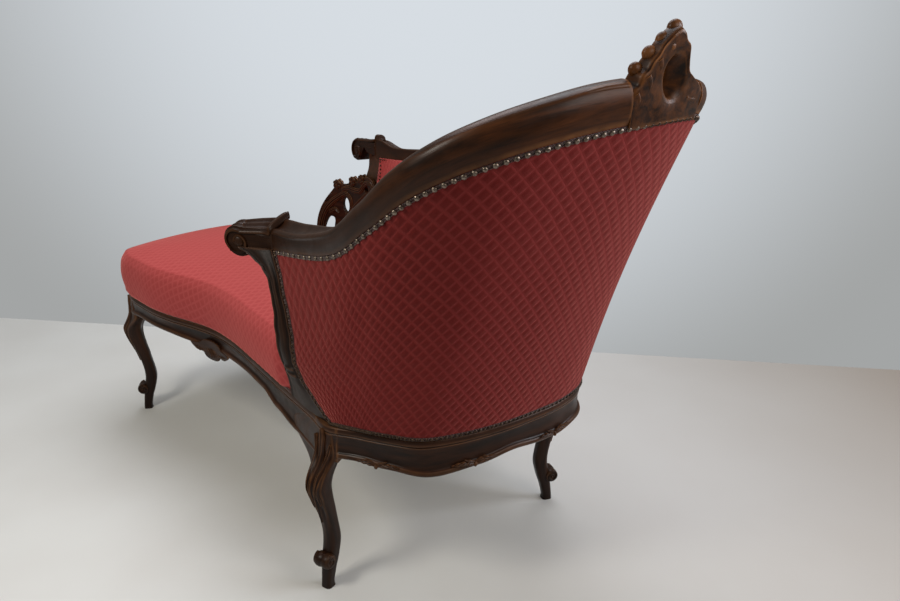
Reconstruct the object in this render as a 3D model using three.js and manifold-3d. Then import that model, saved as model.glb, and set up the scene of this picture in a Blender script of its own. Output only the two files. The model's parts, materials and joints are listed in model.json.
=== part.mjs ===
import * as THREE from "three";
import { mergeVertices } from "three/addons/utils/BufferGeometryUtils.js";
import Module from "manifold-3d";

const wasm = await Module();
wasm.setup();

// Fainting couch with a tub back, millimetres, +Z up.
// While it is built, the front leg at the head end stands at X 0, Y 0.
// +X points out of the head end and +Y towards the long back side.
// At the end the whole couch is centred over its own footprint.

// Clearances
const gap = 0.3;
const softGap = 1.0;
const overrun = 8;

// Plan of the seat frame
const legSpan = 940;
const legDepth = 526;
const frontSweep = 110;
const headBow = 172;
const footBow = 122;
const backBow = 12;

// Seat rails
const railTop = 335;
const headRailHeight = 56;
const sideRailHeight = 43;
const railThickness = 26;
const railInnerHeight = 38;
const railBead = 3;
const railBeadHeight = 8;
const railScallopDrop = 18;
const railTopRound = 3;
const railStep = 32;
const backStep = 56;

// Legs
const legBlockHalf = 31;
const legBlockDepth = 34;
const legBlockDrop = 12;
const kneeWidth = 48;
const legSway = 11;
const frontLegProud = 8;
const footLegInset = 8;
const footRollRadius = 16;
const footRollWidth = 34;
const footRollHeight = 60;
const footRollReach = 6;
const legTurn = 18;

// Tub back
const backRise = 533;
const headReach = 380;
const postFoot = 122;
const backCoverThickness = 2.5;
const backHollow = 6;
const levelFootShare = 0.4;
const slatInset = 4;
const slatDepth = 16;
const slatWidth = 42;
const backClothInset = 22;
const backClothThickness = 1.6;
const backPadThickness = 46;
const backPadEdge = 9;
const backPadLift = 18;
const backPadEndInset = 24;
const backPadEndRun = 160;
const backPadReach = 90;
const padCrownShares = [0.08, 0.94];
const padCrownPower = 0.6;

// Top rail and its carving
const topRailThickness = 30;
const topRailProud = 3;
const topRailHeight = 54;
const topRailTongue = 8;
const topRailLeanShare = 0.5;
const topRailFaceShare = 0.88;
const topRailEdgeShare = 0.9;
const topRailBackShare = 0.8;
const topRailRebate = 4;
const topRailRebateRise = 2.5;
const topRailCrown = 3;
const crestHalfWidth = 78;
const crestHeight = 118;
const crestHoleWidth = 36;
const crestHoleHeight = 52;
const crestHoleCentre = 50;
const crestHoleShift = 14;
const crestLobe = 8;
const crestColumnShares = [0.3, 0.8];
const crestRebateShare = 0.9;
const scrollRadius = 27;
const frontScrollReach = 76;
const frontScrollTurn = 42;
const frontScrollTurnRun = 26;
const frontScrollSlope = 0.22;
const backScrollReach = 92;
const scrollLift = 8;
const scrollWidth = 40;
const scrollArcShares = [0.42, 1.62];
const lugRadius = 12;
const lugWidth = 36;
const lugInset = 2;
const lugRiseShare = 1.3;

// Arm posts
const postDepth = 13;
const postProud = 3;
const postCrown = 3;

// Pierced bracket at the end of the long back
const bracketReach = 148;
const bracketHeight = 232;
const bracketInset = 3;
const bracketThickness = 16;
const flowerRadius = 13;

// Upholstered seat
const seatCrown = 132;
const seatBulge = 13;
const seatLip = 3;
const seatTuck = 24;
const seatTuckHeight = 15;
const seatPostInset = 40;
const seatInsideInset = 84;
const seatBlend = 60;
const seatWall = 30;
const seatWallTaper = 6;
const seatWebRise = 3;
const seatRecess = 69;
const clothThickness = 2;

// Seat foundation
const webbingWidth = 50;
const webbingThickness = 2.4;
const webbingInset = 15.5;
const springWire = 3.6;
const springTurns = 3;
const springRadius = 42;
const springWaistShare = 0.7;
const springClearance = 12;
const crossRailHeight = 34;
const crossRailWidth = 30;
const cornerBlockReach = 62;
const cornerBlockDepth = 56;
const dustClothThickness = 1.2;
const dustClothDrop = 4;

// Trim
const gimpWidth = 9;
const gimpThickness = 2;
const gimpMargin = 0.8;
const gimpGap = 0.6;
const cartoucheHalfWidth = 78;
const cartoucheHeight = 48;
const cartoucheHang = 14;
const cartoucheThickness = 9;
const dropHalfWidth = 12;
const dropHeight = 40;
const dropThickness = 6;

// Finishes
const walnut = { color: 0x3a2317, roughness: 0.35 };
const beech = { color: 0x9a7850, roughness: 0.7 };
const rose = { color: 0xb5484f, roughness: 0.95 };
const linen = { color: 0xb9a583, roughness: 0.95 };
const jute = { color: 0xa98a5c, roughness: 0.95 };
const steel = { color: 0x8a8f94, roughness: 0.45, metalness: 0.9 };
const braid = { color: 0x3b2a22, roughness: 0.9 };

// Seat outline, outer face of the rails, anticlockwise from above.
// X shares: up to 1 is the head bow, down to -1 the leg span, below that the foot bow.
// Y shares: below 0 is the front sweep, up to 1 the leg depth, above that the back bow.
const seatOutlineShares = [
  [-0.06, 0.022], [0.05, 0.022], [0.32, 0.085], [0.6, 0.15], [0.85, 0.225],
  [0.965, 0.34], [1.01, 0.48], [1, 0.62], [0.93, 0.79], [0.73, 0.93],
  [0.36, 0.995], [-0.04, 1.2], [-0.2, 1.6], [-0.45, 1.8], [-0.7, 1.4],
  [-0.88, 0.995], [-0.975, 0.96], [-1.45, 0.87], [-1.84, 0.7], [-2, 0.51],
  [-1.98, 0.31], [-1.76, 0.11], [-1.38, -0.42], [-1.05, -0.94], [-0.96, -1.02],
  [-0.88, -0.93], [-0.8, -0.8], [-0.73, -0.6], [-0.66, -0.34], [-0.58, -0.1],
  [-0.48, 0.005], [-0.34, 0.012], [-0.18, 0.016],
];

// Each row joins a point of the seat outline with one of the back's top edge.
// Outline X and Y shares, then top edge X share, Y share and share of the back's rise.
const backLineShares = [
  [0.17, 0.04, -0.1755, 0.011, 0.516],
  [0.24, 0.06, 0.2, 0.005, 0.607],
  [0.36, 0.09, 0.5, 0.02, 0.722],
  [0.46, 0.12, 0.69, 0.062, 0.82],
  [0.64, 0.165, 0.825, 0.135, 0.884],
  [0.82, 0.215, 0.925, 0.235, 0.93],
  [0.94, 0.3, 0.985, 0.36, 0.963],
  [0.985, 0.4, 1.012, 0.49, 0.984],
  [1.01, 0.5, 1.022, 0.625, 0.997],
  [1, 0.63, 0.995, 0.78, 1.003],
  [0.93, 0.79, 0.9, 0.93, 0.99],
  [0.73, 0.93, 0.68, 2.6, 0.935],
  [0.36, 0.995, 0.34, 4.4, 0.85],
  [-0.06, 1.25, -0.04, 5.2, 0.77],
  [-0.28, 1.7, -0.28, 5, 0.695],
  [-0.56, 1.7, -0.55, 3.8, 0.64],
  [-0.87, 0.995, -0.775, 2.6, 0.612],
];

// Place of the crest's middle along those rows.
const crestRowShare = 0.535;

// Height of the top rail's outer face along the same rows, in shares of its full height.
const topRailHeightShares = [
  0.66, 0.67, 0.7, 0.76, 0.84, 0.9, 0.95, 1, 0.97, 0.85, 0.78, 0.74, 0.72, 0.7, 0.68, 0.66, 0.62,
];

// Front arm post: share of its rise, then X and Y of its fabric edge and of its seat edge,
// from the post's foot and in shares of the foot's length.
const frontPostShares = [
  [0, 0, 0, -1.33, -0.1], [0.11, -0.23, -0.066, -1.31, -0.13], [0.23, -0.62, -0.098, -1.287, -0.19],
  [0.345, -0.92, -0.115, -1.27, -0.254], [0.516, -1.09, -0.115, -1.33, -0.3],
  [0.8, -1.295, -0.115, -1.656, -0.33], [1, -1.598, -0.115, -1.885, -0.33],
];

// Back arm post, measured the same way from the foot end of the long back.
const backPostShares = [
  [0, 0, 0, -0.34, 0], [0.25, 0, 0.03, -0.33, 0.03], [0.46, 0.06, 0.06, -0.26, 0.06],
  [0.58, 0.24, 0.09, -0.06, 0.09], [0.72, 0.58, 0.13, 0.28, 0.13], [0.86, 0.76, 0.17, 0.5, 0.17],
  [1, 0.76, 0.2, 0.52, 0.2],
];

// Cabriole leg from the top down: share of its height, outward sway, share of the knee's width.
const legShares = [
  [1.03, 0.1, 0.98], [0.92, 0.7, 1], [0.8, 1, 0.94], [0.66, 0.8, 0.82], [0.52, 0.1, 0.7],
  [0.4, -0.45, 0.6], [0.3, -0.62, 0.55], [0.2, -0.4, 0.52], [0.13, -0.1, 0.47],
  [0.04, 0, 0.42], [0, 0, 0.46],
];

// Lower edge of the rails: place along the rail and share of the scallop's drop.
const headEdgeShares = [[0, 0.1], [0.08, 0.1], [0.15, 0.3], [0.28, 0.7], [0.4, 0.4], [0.52, 0],
  [0.62, 0.3], [0.7, 0.4], [0.8, 0.2], [0.9, 0.1], [1, 0.1]];
const sideEdgeShares = [[0, 0.3], [0.1, 0], [0.3, 0.1], [0.5, 1.1], [0.7, 0.1], [0.9, 0], [1, 0.3]];
const frontEdgeShares = [[0, 0.3], [0.08, 0], [0.2, 0], [0.38, 0.4], [0.52, 0.2], [0.64, 0],
  [0.72, 0.1], [0.8, 0.9], [0.9, 1.2], [1, 1.4]];

// Seat cushion's side from the rail up: share of the bulge, share of the crown's height.
// Then the top draws in: share of the way to the middle line, share of the crown's height.
const seatSideShares = [[0.62, 0.14], [0.95, 0.32], [1, 0.5], [0.6, 0.7], [-0.3, 0.84]];
const seatTopShares = [[0.16, 0.91], [0.4, 0.965], [0.7, 0.992], [0.92, 1]];

// Middle line that the seat and the back are drawn towards, in the same shares as the outline.
const middleStartShares = [-0.82, 0.4];
const middleEndShares = [0.1, 0.49];

// Springs: share of the leg span, then share of the room that a spring has across the recess.
const springShares = [[-0.92, 0.12], [-0.92, 0.56], [-0.9, 1], [-0.68, 0.08], [-0.68, 0.54],
  [-0.68, 1], [-0.46, 0.08], [-0.46, 0.53], [-0.46, 0.98], [-0.24, 0.26], [-0.24, 0.84],
  [-0.02, 0.04], [-0.02, 0.8]];
// Cross rails and webbing, as shares of the leg span and of the leg depth.
const crossRailShares = [-0.57, -0.13];
const webbingRowShares = [0.12, 0.28, 0.44, 0.6, 0.76];
const webbingColumnShares = [-0.91, -0.79, -0.68, -0.46, -0.35, -0.24, -0.02];

// Places of the back's upright slats along its top edge.
const slatPlaceShares = [0.2, 0.38, 0.56, 0.76];

// Crest outline, each half from the rail up: share of the half width, share of the height.
const crestLeftShares = [[1, 0.34], [0.93, 0.42], [0.8, 0.44], [0.76, 0.56], [0.64, 0.6], [0.58, 0.7],
  [0.46, 0.76], [0.4, 0.86], [0.24, 0.9], [0.16, 1]];
const crestRightShares = [[1, 0.16], [0.98, 0.3], [0.84, 0.4], [0.6, 0.46], [0.48, 0.56], [0.44, 0.7],
  [0.42, 0.82], [0.3, 0.94], [0.16, 1]];

// Pierced bracket: share of its reach along the rail from the post, share of its height.
const bracketOuterShares = [[-0.86, 0.98], [-0.74, 1.1], [-0.56, 1.13], [-0.36, 1.08], [-0.2, 1.04],
  [-0.04, 1.03], [0.2, 0.98], [0.44, 0.96], [0.62, 0.86], [0.8, 0.74], [0.94, 0.6], [1.02, 0.44],
  [1.04, 0.24], [1.03, 0.006]];
const bracketInnerShares = [[0.86, 0.006], [0.88, 0.22], [0.82, 0.4], [0.7, 0.53], [0.55, 0.52],
  [0.58, 0.36], [0.5, 0.2], [0.34, 0.13], [0.2, 0.2], [0.14, 0.36], [0.04, 0.5], [-0.12, 0.64],
  [-0.32, 0.76], [-0.56, 0.86], [-0.8, 0.92]];
const bracketHoleShares = [[0.2, 0.72, 0.1, 0.09], [-0.52, 0.98, 0.07, 0.045]];
const flowerShares = [[-0.36, 1.08], [-0.04, 1.03], [0.44, 0.96]];

// Carved pieces on the rails: place along the rail, then outline shares of half width and height.
const cartouchePlaceShare = 0.42;
const cartoucheShares = [[-1, 0.62], [-0.72, 0.3], [-0.46, 0.34], [-0.3, 0.08], [0, 0], [0.3, 0.08],
  [0.46, 0.34], [0.72, 0.3], [1, 0.62], [0.6, 0.72], [0.34, 0.94], [0, 1], [-0.34, 0.94], [-0.6, 0.72]];
const dropPlaceShares = [0.15, 0.4, 0.66];
const dropShares = [[-0.6, 0.2], [0, 0], [0.6, 0.2], [1, 0.46], [0.7, 0.7], [0.5, 0.95], [0, 1],
  [-0.5, 0.95], [-0.7, 0.7], [-1, 0.46]];

const couch = new THREE.Group();

function addPiece(name, geometry, finish) {
  const mesh = new THREE.Mesh(geometry, new THREE.MeshStandardMaterial(finish));
  mesh.name = name;
  couch.add(mesh);
}

// Mesh helpers

function signedVolume(positions, indices) {
  let volume = 0;
  const a = new THREE.Vector3();
  const b = new THREE.Vector3();
  const c = new THREE.Vector3();
  for (let i = 0; i < indices.length; i += 3) {
    a.fromArray(positions, indices[i] * 3);
    b.fromArray(positions, indices[i + 1] * 3);
    c.fromArray(positions, indices[i + 2] * 3);
    volume += a.dot(b.cross(c)) / 6;
  }
  return volume;
}

function closedGeometry(positions, indices) {
  if (signedVolume(positions, indices) < 0) {
    for (let i = 0; i < indices.length; i += 3) {
      [indices[i + 1], indices[i + 2]] = [indices[i + 2], indices[i + 1]];
    }
  }
  const geometry = new THREE.BufferGeometry();
  geometry.setAttribute("position", new THREE.Float32BufferAttribute(positions, 3));
  geometry.setIndex(indices);
  return geometry;
}

// Skin through rings of points, closed by a cap at each end.
// The caps are triangulated in each ring's own flat coordinates.
function loft(rings, startFlat, endFlat) {
  const count = rings[0].length;
  const positions = rings.flat().flatMap((p) => [p.x, p.y, p.z]);
  const indices = [];
  for (let r = 0; r + 1 < rings.length; r += 1) {
    for (let k = 0; k < count; k += 1) {
      const next = (k + 1) % count;
      const low = r * count;
      const high = low + count;
      indices.push(low + k, low + next, high + next, low + k, high + next, high + k);
    }
  }
  const last = (rings.length - 1) * count;
  for (const face of THREE.ShapeUtils.triangulateShape(startFlat, [])) {
    indices.push(face[2], face[1], face[0]);
  }
  for (const face of THREE.ShapeUtils.triangulateShape(endFlat, [])) {
    indices.push(last + face[0], last + face[1], last + face[2]);
  }
  return closedGeometry(positions, indices);
}

// Sweep of a section along frames; a frame is an origin and two directions.
function sweep(frames, sectionAt) {
  const sections = frames.map((frame, i) => sectionAt(frame, i));
  const rings = frames.map((frame, i) => sections[i].map(([a, b]) => frame.origin.clone()
    .addScaledVector(frame.across, a)
    .addScaledVector(frame.up, b)));
  const flat = (section) => section.map(([a, b]) => new THREE.Vector2(a, b));
  const clockwise = THREE.ShapeUtils.isClockWise(flat(sections[0]));
  if (clockwise) {
    rings.forEach((ring) => ring.reverse());
    sections.forEach((section) => section.reverse());
  }
  return loft(rings, flat(sections[0]), flat(sections[sections.length - 1]));
}

// Thin or padded shell between two grids of points with the same rows and columns.
function shell(outer, inner) {
  const rows = outer.length;
  const columns = outer[0].length;
  const size = rows * columns;
  const positions = [...outer.flat(), ...inner.flat()].flatMap((p) => [p.x, p.y, p.z]);
  const at = (side, r, c) => side * size + r * columns + c;
  const indices = [];
  const quad = (a, b, c, d) => indices.push(a, b, c, a, c, d);
  for (let r = 0; r + 1 < rows; r += 1) {
    for (let c = 0; c + 1 < columns; c += 1) {
      quad(at(0, r, c), at(0, r + 1, c), at(0, r + 1, c + 1), at(0, r, c + 1));
      quad(at(1, r, c), at(1, r, c + 1), at(1, r + 1, c + 1), at(1, r + 1, c));
    }
    quad(at(0, r, 0), at(1, r, 0), at(1, r + 1, 0), at(0, r + 1, 0));
    const end = columns - 1;
    quad(at(0, r, end), at(0, r + 1, end), at(1, r + 1, end), at(1, r, end));
  }
  for (let c = 0; c + 1 < columns; c += 1) {
    quad(at(0, 0, c), at(0, 0, c + 1), at(1, 0, c + 1), at(1, 0, c));
    quad(at(0, rows - 1, c), at(1, rows - 1, c), at(1, rows - 1, c + 1), at(0, rows - 1, c + 1));
  }
  return closedGeometry(positions, indices);
}

// Joining and cutting

function toSolid(geometry) {
  const bare = new THREE.BufferGeometry();
  bare.setAttribute("position", geometry.getAttribute("position").clone());
  if (geometry.index) {
    bare.setIndex(geometry.index.clone());
  }
  const merged = mergeVertices(bare, gap / 100);
  return new wasm.Manifold(new wasm.Mesh({
    numProp: 3,
    vertProperties: new Float32Array(merged.getAttribute("position").array),
    triVerts: new Uint32Array(merged.index.array),
  }));
}

function fromSolid(solid) {
  const mesh = solid.getMesh();
  const geometry = new THREE.BufferGeometry();
  geometry.setAttribute("position", new THREE.Float32BufferAttribute(mesh.vertProperties, 3));
  geometry.setIndex([...mesh.triVerts]);
  return geometry;
}

function join(...geometries) {
  return fromSolid(geometries.map(toSolid).reduce((whole, next) => whole.add(next)));
}

function cut(geometry, ...cutters) {
  return fromSolid(cutters.map(toSolid).reduce((whole, next) => whole.subtract(next), toSolid(geometry)));
}

function keepInside(geometry, region) {
  return fromSolid(toSolid(geometry).intersect(toSolid(region)));
}

// Curve through hand-set rows, read by a place from 0 to 1.
function tableCurve(rows) {
  const last = rows.length - 1;
  return (place) => {
    const f = THREE.MathUtils.clamp(place, 0, 1) * last;
    const i = Math.min(Math.floor(f), last - 1);
    const t = f - i;
    return rows[i].map((value, k) => {
      const before = rows[Math.max(i - 1, 0)][k];
      const next = rows[i + 1][k];
      const after = rows[Math.min(i + 2, last)][k];
      const slopeIn = (next - before) / 2;
      const slopeOut = (after - value) / 2;
      const t2 = t * t;
      const t3 = t2 * t;
      return value * (2 * t3 - 3 * t2 + 1) + slopeIn * (t3 - 2 * t2 + t)
        + next * (3 * t2 - 2 * t3) + slopeOut * (t3 - t2);
    });
  };
}

// Value between rows of place and value.
function tableValue(rows, place) {
  const high = Math.max(rows.findIndex((row) => row[0] >= place), 1);
  const [x0, y0] = rows[high - 1];
  const [x1, y1] = rows[high];
  return y0 + (y1 - y0) * THREE.MathUtils.smoothstep(place, x0, x1);
}

function counted(from, to, steps) {
  return Array.from({ length: steps + 1 }, (unused, i) => from + (to - from) * i / steps);
}

// Seat outline

function planX(share) {
  if (share >= 0) {
    return share * headBow;
  }
  return share >= -1 ? share * legSpan : -legSpan + (share + 1) * footBow;
}

function planY(share) {
  if (share < 0) {
    return share * frontSweep;
  }
  return share <= 1 ? share * legDepth : legDepth + (share - 1) * backBow;
}

const outlineCurve = new THREE.CatmullRomCurve3(
  seatOutlineShares.map(([x, y]) => new THREE.Vector3(planX(x), planY(y), 0)), true, "centripetal");
outlineCurve.arcLengthDivisions = 1200;
const outlineLength = outlineCurve.getLength();

function wrap(s) {
  return ((s % outlineLength) + outlineLength) % outlineLength;
}

function outlinePoint(s) {
  return outlineCurve.getPointAt(wrap(s) / outlineLength);
}

function outlineTangent(s) {
  return outlineCurve.getTangentAt(wrap(s) / outlineLength);
}

// Unit direction out of the seat at a place of the outline.
function outward(s) {
  const tangent = outlineTangent(s);
  return new THREE.Vector3(tangent.y, -tangent.x, 0).normalize();
}

const outlineSamples = counted(0, outlineLength, 1200);

function nearestOutline(x, y) {
  const target = new THREE.Vector3(x, y, 0);
  let best = 0;
  let distance = Infinity;
  for (const s of outlineSamples) {
    const d = outlinePoint(s).distanceTo(target);
    if (d < distance) {
      best = s;
      distance = d;
    }
  }
  return best;
}

const middleStart = new THREE.Vector3(planX(middleStartShares[0]), planY(middleStartShares[1]), 0);
const middleEnd = new THREE.Vector3(planX(middleEndShares[0]), planY(middleEndShares[1]), 0);
const middleLine = new THREE.Line3(middleStart, middleEnd);

function middlePoint(plan) {
  return middleLine.closestPointToPoint(new THREE.Vector3(plan.x, plan.y, 0), true, new THREE.Vector3());
}

function inward(plan) {
  const flat = new THREE.Vector3(plan.x, plan.y, 0);
  return middlePoint(plan).sub(flat).normalize();
}

const upwards = new THREE.Vector3(0, 0, 1);

// Leg places on the outline
const frontHeadS = nearestOutline(0, 0);
const backHeadS = nearestOutline(0, legDepth);
const backFootS = nearestOutline(-legSpan, legDepth);
const frontFootS = nearestOutline(-legSpan, -frontSweep);

function forwardSpan(from, to) {
  return wrap(to - from);
}

// Frames on the outline: across points inward, up is vertical.
function outlineFrames(from, length, step) {
  const steps = Math.max(2, Math.round(length / step));
  return counted(from, from + length, steps).map((s, i) => ({
    origin: outlinePoint(s),
    across: outward(s).negate(),
    up: upwards.clone(),
    place: i / steps,
  }));
}

// Rails

const legTop = railTop - headRailHeight;
const railInnerBottom = railTop - railInnerHeight;

function railSection(lowerEdge) {
  const low = Math.min(lowerEdge, railInnerBottom - railTopRound);
  return [
    [railTopRound / 2, railTop], [railThickness, railTop], [railThickness, railInnerBottom],
    [railThickness / 2, railInnerBottom], [railThickness / 3, low], [0, low],
    [-railBead, low + railTopRound], [-railBead, low + railBeadHeight],
    [0, low + railBeadHeight + railTopRound], [0, railTop - railTopRound],
  ];
}

function rail(fromLeg, toLeg, height, edgeShares) {
  const start = fromLeg + legBlockHalf + gap;
  const length = forwardSpan(fromLeg, toLeg) - 2 * (legBlockHalf + gap);
  const frames = outlineFrames(start, length, railStep);
  return sweep(frames, (frame) => railSection(
    railTop - height - railScallopDrop * tableValue(edgeShares, frame.place)));
}

addPiece("head_rail", rail(frontHeadS, backHeadS, headRailHeight, headEdgeShares), walnut);
addPiece("back_rail", rail(backHeadS, backFootS, sideRailHeight, sideEdgeShares), walnut);
addPiece("foot_rail", rail(backFootS, frontFootS, sideRailHeight, sideEdgeShares), walnut);
addPiece("front_rail", rail(frontFootS, frontHeadS, sideRailHeight, frontEdgeShares), walnut);

// Cabriole legs, each with the corner block that the rails are dowelled to

function roundedSquare(halfWidth, steps) {
  return Array.from({ length: steps }, (unused, k) => {
    const angle = (k + 0.5) * 2 * Math.PI / steps;
    const c = Math.cos(angle);
    const s = Math.sin(angle);
    const reach = halfWidth / Math.pow(c ** 4 + s ** 4, 0.25);
    return [reach * c, reach * s];
  });
}

function legFoot(s, inset) {
  return outlinePoint(s).addScaledVector(outward(s), -inset);
}

function leg(s, inset, turned) {
  const out = outward(s).applyAxisAngle(upwards, THREE.MathUtils.degToRad(turned));
  const side = new THREE.Vector3().crossVectors(upwards, out);
  const foot = legFoot(s, inset);
  const frames = legShares.map(([height, sway, width]) => ({
    origin: foot.clone().addScaledVector(out, sway * legSway).setZ(height * legTop),
    across: out,
    up: side,
    half: width * kneeWidth / 2,
  }));
  const shaft = sweep(frames, (frame) => roundedSquare(frame.half, 12));
  const blockFrames = outlineFrames(s - legBlockHalf, 2 * legBlockHalf, legBlockHalf / 2);
  const block = sweep(blockFrames, () => [
    [-railBead, railTop - railTopRound], [0, railTop], [legBlockDepth, railTop],
    [legBlockDepth, legTop - legBlockDrop], [-railBead, legTop - legBlockDrop],
  ]);
  const roll = new THREE.CylinderGeometry(footRollRadius, footRollRadius, footRollWidth, 12);
  const rollPlace = foot.clone().addScaledVector(out, footRollReach).setZ(footRollHeight);
  const turn = new THREE.Matrix4().makeBasis(out, side, upwards);
  roll.applyMatrix4(turn.setPosition(rollPlace));
  return join(shaft, block, roll);
}

const legs = [
  ["leg_front_head", frontHeadS, -frontLegProud, legTurn],
  ["leg_back_head", backHeadS, 0, -legTurn],
  ["leg_back_foot", backFootS, footLegInset, 0],
  ["leg_front_foot", frontFootS, footLegInset, 0],
];
for (const [name, s, inset, turned] of legs) {
  addPiece(name, leg(s, inset, turned), walnut);
}

// Tub back surface

const backRows = backLineShares.map(([bx, by, tx, ty, rise]) => {
  const topX = tx >= 0 ? tx * headReach : tx * legSpan;
  return [nearestOutline(planX(bx), planY(by)), topX, planY(ty), railTop + rise * backRise];
});
for (let i = 1; i < backRows.length; i += 1) {
  while (backRows[i][0] < backRows[i - 1][0] - outlineLength / 4) {
    backRows[i][0] += outlineLength;
  }
}
const backCurve = tableCurve(backRows);
const railHeightCurve = tableCurve(topRailHeightShares.map((share) => [share * topRailHeight]));
const frontPostCurve = tableCurve(frontPostShares);
const backPostCurve = tableCurve(backPostShares);
const endFadeRows = 2.2 / (backLineShares.length - 1);

function bottomEdge(u) {
  const point = outlinePoint(backCurve(u)[0]);
  return point.setZ(railTop + gap);
}

function topEdge(u) {
  const [, x, y, z] = backCurve(u);
  return new THREE.Vector3(x, y, z);
}

const frontPostPlace = bottomEdge(0);
const backPostPlace = bottomEdge(1);
const frontArmTop = topEdge(0);
const backArmTop = topEdge(1);

// Edge of a post: side 1 is the fabric edge, side 3 the seat edge.
// Small differences at the post's head are closed so that it ends on the back's own corner.
function postEdge(curve, foot, head, v, side) {
  const row = curve(v);
  const topRow = curve(1);
  const x = row[side] * postFoot;
  const y = row[side + 1] * postFoot;
  const miss = new THREE.Vector3(
    head.x - foot.x - topRow[1] * postFoot, head.y - foot.y - topRow[2] * postFoot, 0);
  return new THREE.Vector3(foot.x + x, foot.y + y, foot.z + (head.z - foot.z) * row[0])
    .addScaledVector(miss, v);
}

function frontEdge(v) {
  return postEdge(frontPostCurve, frontPostPlace, frontArmTop, v, 1);
}

function backEdge(v) {
  return postEdge(backPostCurve, backPostPlace, backArmTop, v, 1);
}

function fade(distance) {
  return 1 - THREE.MathUtils.smoothstep(distance, 0, endFadeRows);
}

// Point of the back's outer face; u runs from the front arm round to the back arm, v upwards.
function backPoint(u, v) {
  const low = bottomEdge(u);
  const high = topEdge(u);
  const point = low.clone().lerp(high, v);
  const frontShift = frontEdge(v).sub(bottomEdge(0).lerp(topEdge(0), v));
  const backShift = backEdge(v).sub(bottomEdge(1).lerp(topEdge(1), v));
  point.addScaledVector(frontShift, fade(u));
  point.addScaledVector(backShift, fade(1 - u));
  const hollow = backHollow * Math.sin(Math.PI * v) * (1 - fade(u)) * (1 - fade(1 - u));
  return point.addScaledVector(inward(point), hollow);
}

// Frame of the back: across points into the couch, up along the rake.
function backFrame(u, v) {
  const step = 1 / 64;
  const low = backPoint(u, Math.max(v - step, 0));
  const high = backPoint(u, Math.min(v + step, 1));
  const rake = high.sub(low).normalize();
  const into = inward(backPoint(u, v));
  const across = into.addScaledVector(rake, -into.dot(rake)).normalize();
  return { origin: backPoint(u, v), across, up: rake, u };
}

// Frame with a level section at the seat rail that leans over to the rake above it.
function risingFrame(u, v) {
  const frame = backFrame(u, v);
  const level = inward(frame.origin);
  const lean = THREE.MathUtils.smoothstep(v, 0, levelFootShare);
  frame.across = level.lerp(frame.across, lean).normalize();
  return frame;
}

// The rail stands more upright than the fabric below it, square to its own run.
function topFrame(u) {
  const frame = backFrame(u, 1);
  const step = 1 / 400;
  const along = topEdge(Math.min(u + step, 1)).sub(topEdge(Math.max(u - step, 0))).normalize();
  frame.up.lerp(upwards, 1 - topRailLeanShare);
  frame.up.addScaledVector(along, -frame.up.dot(along)).normalize();
  frame.across.addScaledVector(along, -frame.across.dot(along));
  frame.across.addScaledVector(frame.up, -frame.across.dot(frame.up)).normalize();
  return frame;
}

// Places along the top edge by true length, so that carving keeps its size.
const topSamples = counted(0, 1, 640);
const topLengths = [0];
for (let i = 1; i < topSamples.length; i += 1) {
  topLengths.push(topLengths[i - 1] + topEdge(topSamples[i]).distanceTo(topEdge(topSamples[i - 1])));
}
const topLength = topLengths[topLengths.length - 1];

function topPlace(length) {
  const target = THREE.MathUtils.clamp(length, 0, topLength);
  const high = Math.max(topLengths.findIndex((value) => value >= target), 1);
  const t = (target - topLengths[high - 1]) / (topLengths[high] - topLengths[high - 1]);
  return THREE.MathUtils.lerp(topSamples[high - 1], topSamples[high], t);
}

// Past the front end the line turns outwards and rises; past the back end it runs straight on.
function topFrameAtLength(length) {
  const frame = topFrame(topPlace(length));
  const beyond = Math.abs(length - THREE.MathUtils.clamp(length, 0, topLength));
  if (beyond > 0) {
    const away = new THREE.Vector3().crossVectors(frame.across, frame.up).normalize();
    if (away.dot(topEdge(0.5).sub(frame.origin)) > 0) {
      away.negate();
    }
    const atFront = length < 0;
    const bent = Math.min(beyond, frontScrollTurnRun);
    const straight = beyond - bent;
    const turn = atFront ? THREE.MathUtils.degToRad(frontScrollTurn) * bent / frontScrollTurnRun : 0;
    frame.origin
      .addScaledVector(away, bent * Math.cos(turn / 2) + straight * Math.cos(turn))
      .addScaledVector(frame.across, -bent * Math.sin(turn / 2) - straight * Math.sin(turn))
      .addScaledVector(upwards, atFront ? beyond * frontScrollSlope : 0);
    frame.across.multiplyScalar(Math.cos(turn)).addScaledVector(away, Math.sin(turn));
  }
  frame.length = length;
  return frame;
}

// Top rail in two lengths, with the crest between them

function topRailSection(height, grow = 0) {
  const out = -topRailProud - grow;
  const inner = topRailThickness + grow;
  const rebate = backCoverThickness + topRailRebate - grow;
  const top = height + grow;
  return [
    [out, gap - grow], [out, top * topRailFaceShare], [0, top],
    [topRailThickness / 2, top + topRailCrown], [topRailThickness * topRailEdgeShare, top],
    [inner, top * topRailBackShare], [inner, -topRailTongue - grow],
    [rebate, -topRailTongue - grow], [rebate, topRailRebateRise - grow],
  ];
}

const crestMiddle = topLengths[topSamples.findIndex((u) => u >= crestRowShare)];
const frontRailEnd = crestMiddle - crestHalfWidth - gap;
const backRailStart = crestMiddle + crestHalfWidth + gap;

// Stations shared by everything that follows the top edge, so that faces lie side by side.
const stationCount = Math.round(topLength / backStep);
const stationLengths = [...counted(0, topLength, stationCount), frontRailEnd, backRailStart]
  .sort((a, b) => a - b);

const coverColumns = stationLengths.map(topPlace);
const coverRows = counted(0, 1, 8);

function backLayer(columns, rows, depth) {
  return rows.map((v) => columns.map((u) => {
    const frame = risingFrame(u, v);
    return frame.origin.addScaledVector(frame.across, depth);
  }));
}

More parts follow.
